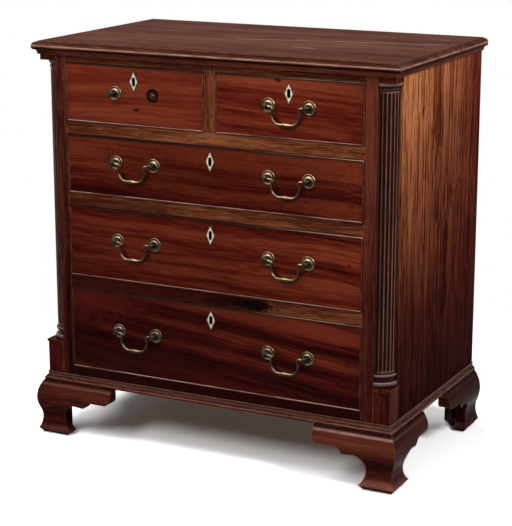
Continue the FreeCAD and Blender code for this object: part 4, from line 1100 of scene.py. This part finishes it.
# The cockbead darker near the floor, a painted shade
bead_wood = wood(
    "bead_wood", BEAD, "X", 33.0, contrast=1.2, worn=0.6, dull=0.25, shine=0.04,
    low=(0.4, 0.35, 0.35), marks=bead_light_and_wear,
)
post_brass = brass("post_brass", True)
bail_brass = brass("bail_brass", False)
right_column = column_shape()
left_column = right_column.mirrored()
for side, column in (("right", right_column), ("left", left_column)):
    column.piece(
        f"turned_column_{side}", column_wood, "carcass", f"column_{side}", "column_mahogany"
    )
for drawer, (height, bails) in HANDLES.items():
    body = f"{drawer}_drawer"
    posts = posts_shape(drawer)
    posts.piece(f"{drawer}_roses", post_brass, body, f"{drawer}_handle_posts", "brass")
    bead = bead_shape(*FRONTS[drawer])
    bead.piece(f"{drawer}_bead", bead_wood, body, f"{drawer}_cockbead", "drawer_mahogany")
    for bail, centre in bails.items():
        bail_shape(centre, height).piece(f"{bail}_rod", bail_brass, bail, bail, "brass")

# The studio, in metres
FLOOR_HALF = 20.0
FLOOR_DROP = 0.0006
FLOOR_LIT = (0.72, 0.72, 0.72, 1.0)
FLOOR_SEEN = (1.9, 1.9, 1.9, 1.0)
FLOOR_FADE = (0.55, 1.1)
AMBIENT = 0.17
SENSOR = 36.0


def floor_look():
    """A pale floor that looks white and keeps the shadow."""
    material = bpy.data.materials.new("floor")
    material.use_nodes = True
    g = Graph(material.node_tree)
    g.tree.nodes.clear()
    seen = g.seen()
    diffuse = g.node("ShaderNodeBsdfDiffuse", {"Color": g.mix(seen, FLOOR_LIT, FLOOR_SEEN)})
    white = g.node("ShaderNodeEmission")
    far = g.vector("LENGTH", g.node("ShaderNodeTexCoord").outputs["Object"])
    share = g.both(g.span(far, *FLOOR_FADE), seen)
    shown = g.node("ShaderNodeMixShader", {0: share, 1: diffuse.outputs[0], 2: white.outputs[0]})
    g.node("ShaderNodeOutputMaterial", {"Surface": shown.outputs[0]})
    return material


def stage():
    """The floor, and a world that looks white and lights a little from all sides."""
    corners = ((-1, -1), (1, -1), (1, 1), (-1, 1))
    mesh = bpy.data.meshes.new("floor")
    mesh.from_pydata(
        [(x * FLOOR_HALF, y * FLOOR_HALF, -FLOOR_DROP) for x, y in corners], [], [(0, 1, 2, 3)]
    )
    mesh.materials.append(floor_look())
    floor = bpy.data.objects.new("floor", mesh)
    bpy.context.scene.collection.objects.link(floor)
    world = bpy.data.worlds.new("studio")
    bpy.context.scene.world = world
    world.use_nodes = True
    g = Graph(world.node_tree)
    background = g.tree.nodes["Background"]
    background.inputs["Color"].default_value = (1.0, 1.0, 1.0, 1.0)
    g.feed(background.inputs["Strength"], g.span(g.seen(), 0.0, 1.0, AMBIENT, 1.0))


def lamp(name, place, target, size, power, glints=True):
    """A square lamp; one without glints lights a surface but isn't mirrored in it."""
    data = bpy.data.lights.new(name, "AREA")
    data.shape = "SQUARE"
    data.size = size
    data.energy = power
    made = bpy.data.objects.new(name, data)
    made.location = place
    made.rotation_euler = (Vector(target) - Vector(place)).to_track_quat("-Z", "Y").to_euler()
    made.visible_glossy = glints
    bpy.context.scene.collection.objects.link(made)


def camera(azimuth, elevation, distance, target, lens):
    """A camera that looks at the target, its angles in degrees from the front and the floor."""
    data = bpy.data.cameras.new("camera")
    data.lens = lens
    data.sensor_width = SENSOR
    made = bpy.data.objects.new("camera", data)
    a, e = math.radians(azimuth), math.radians(elevation)
    back = Vector((math.sin(a) * math.cos(e), -math.cos(a) * math.cos(e), math.sin(e)))
    made.location = Vector(target) + back * distance
    made.rotation_euler = (-back).to_track_quat("-Z", "Y").to_euler()
    bpy.context.scene.collection.objects.link(made)
    bpy.context.scene.camera = made


stage()
lamp("key", (-0.75, -1.15, 2.4), target=(0.0, -0.2, 0.6), size=1.1, power=22.0)
lamp("front", (-0.4, -2.1, 1.8), target=(0.0, -0.2, 0.45), size=0.8, power=18.5)
lamp("side", (1.9, -0.7, 1.9), target=(0.3, 0.0, 0.6), size=0.6, power=36.0)
lamp("back", (-1.2, 1.6, 1.9), target=(-0.1, 0.1, 0.5), size=1.0, power=24.0, glints=False)
camera(26.84, 14.17, distance=3.517, target=(-0.0101, 0.0, 0.3537), lens=117.24)
bpy.context.scene.view_settings.view_transform = "Standard"
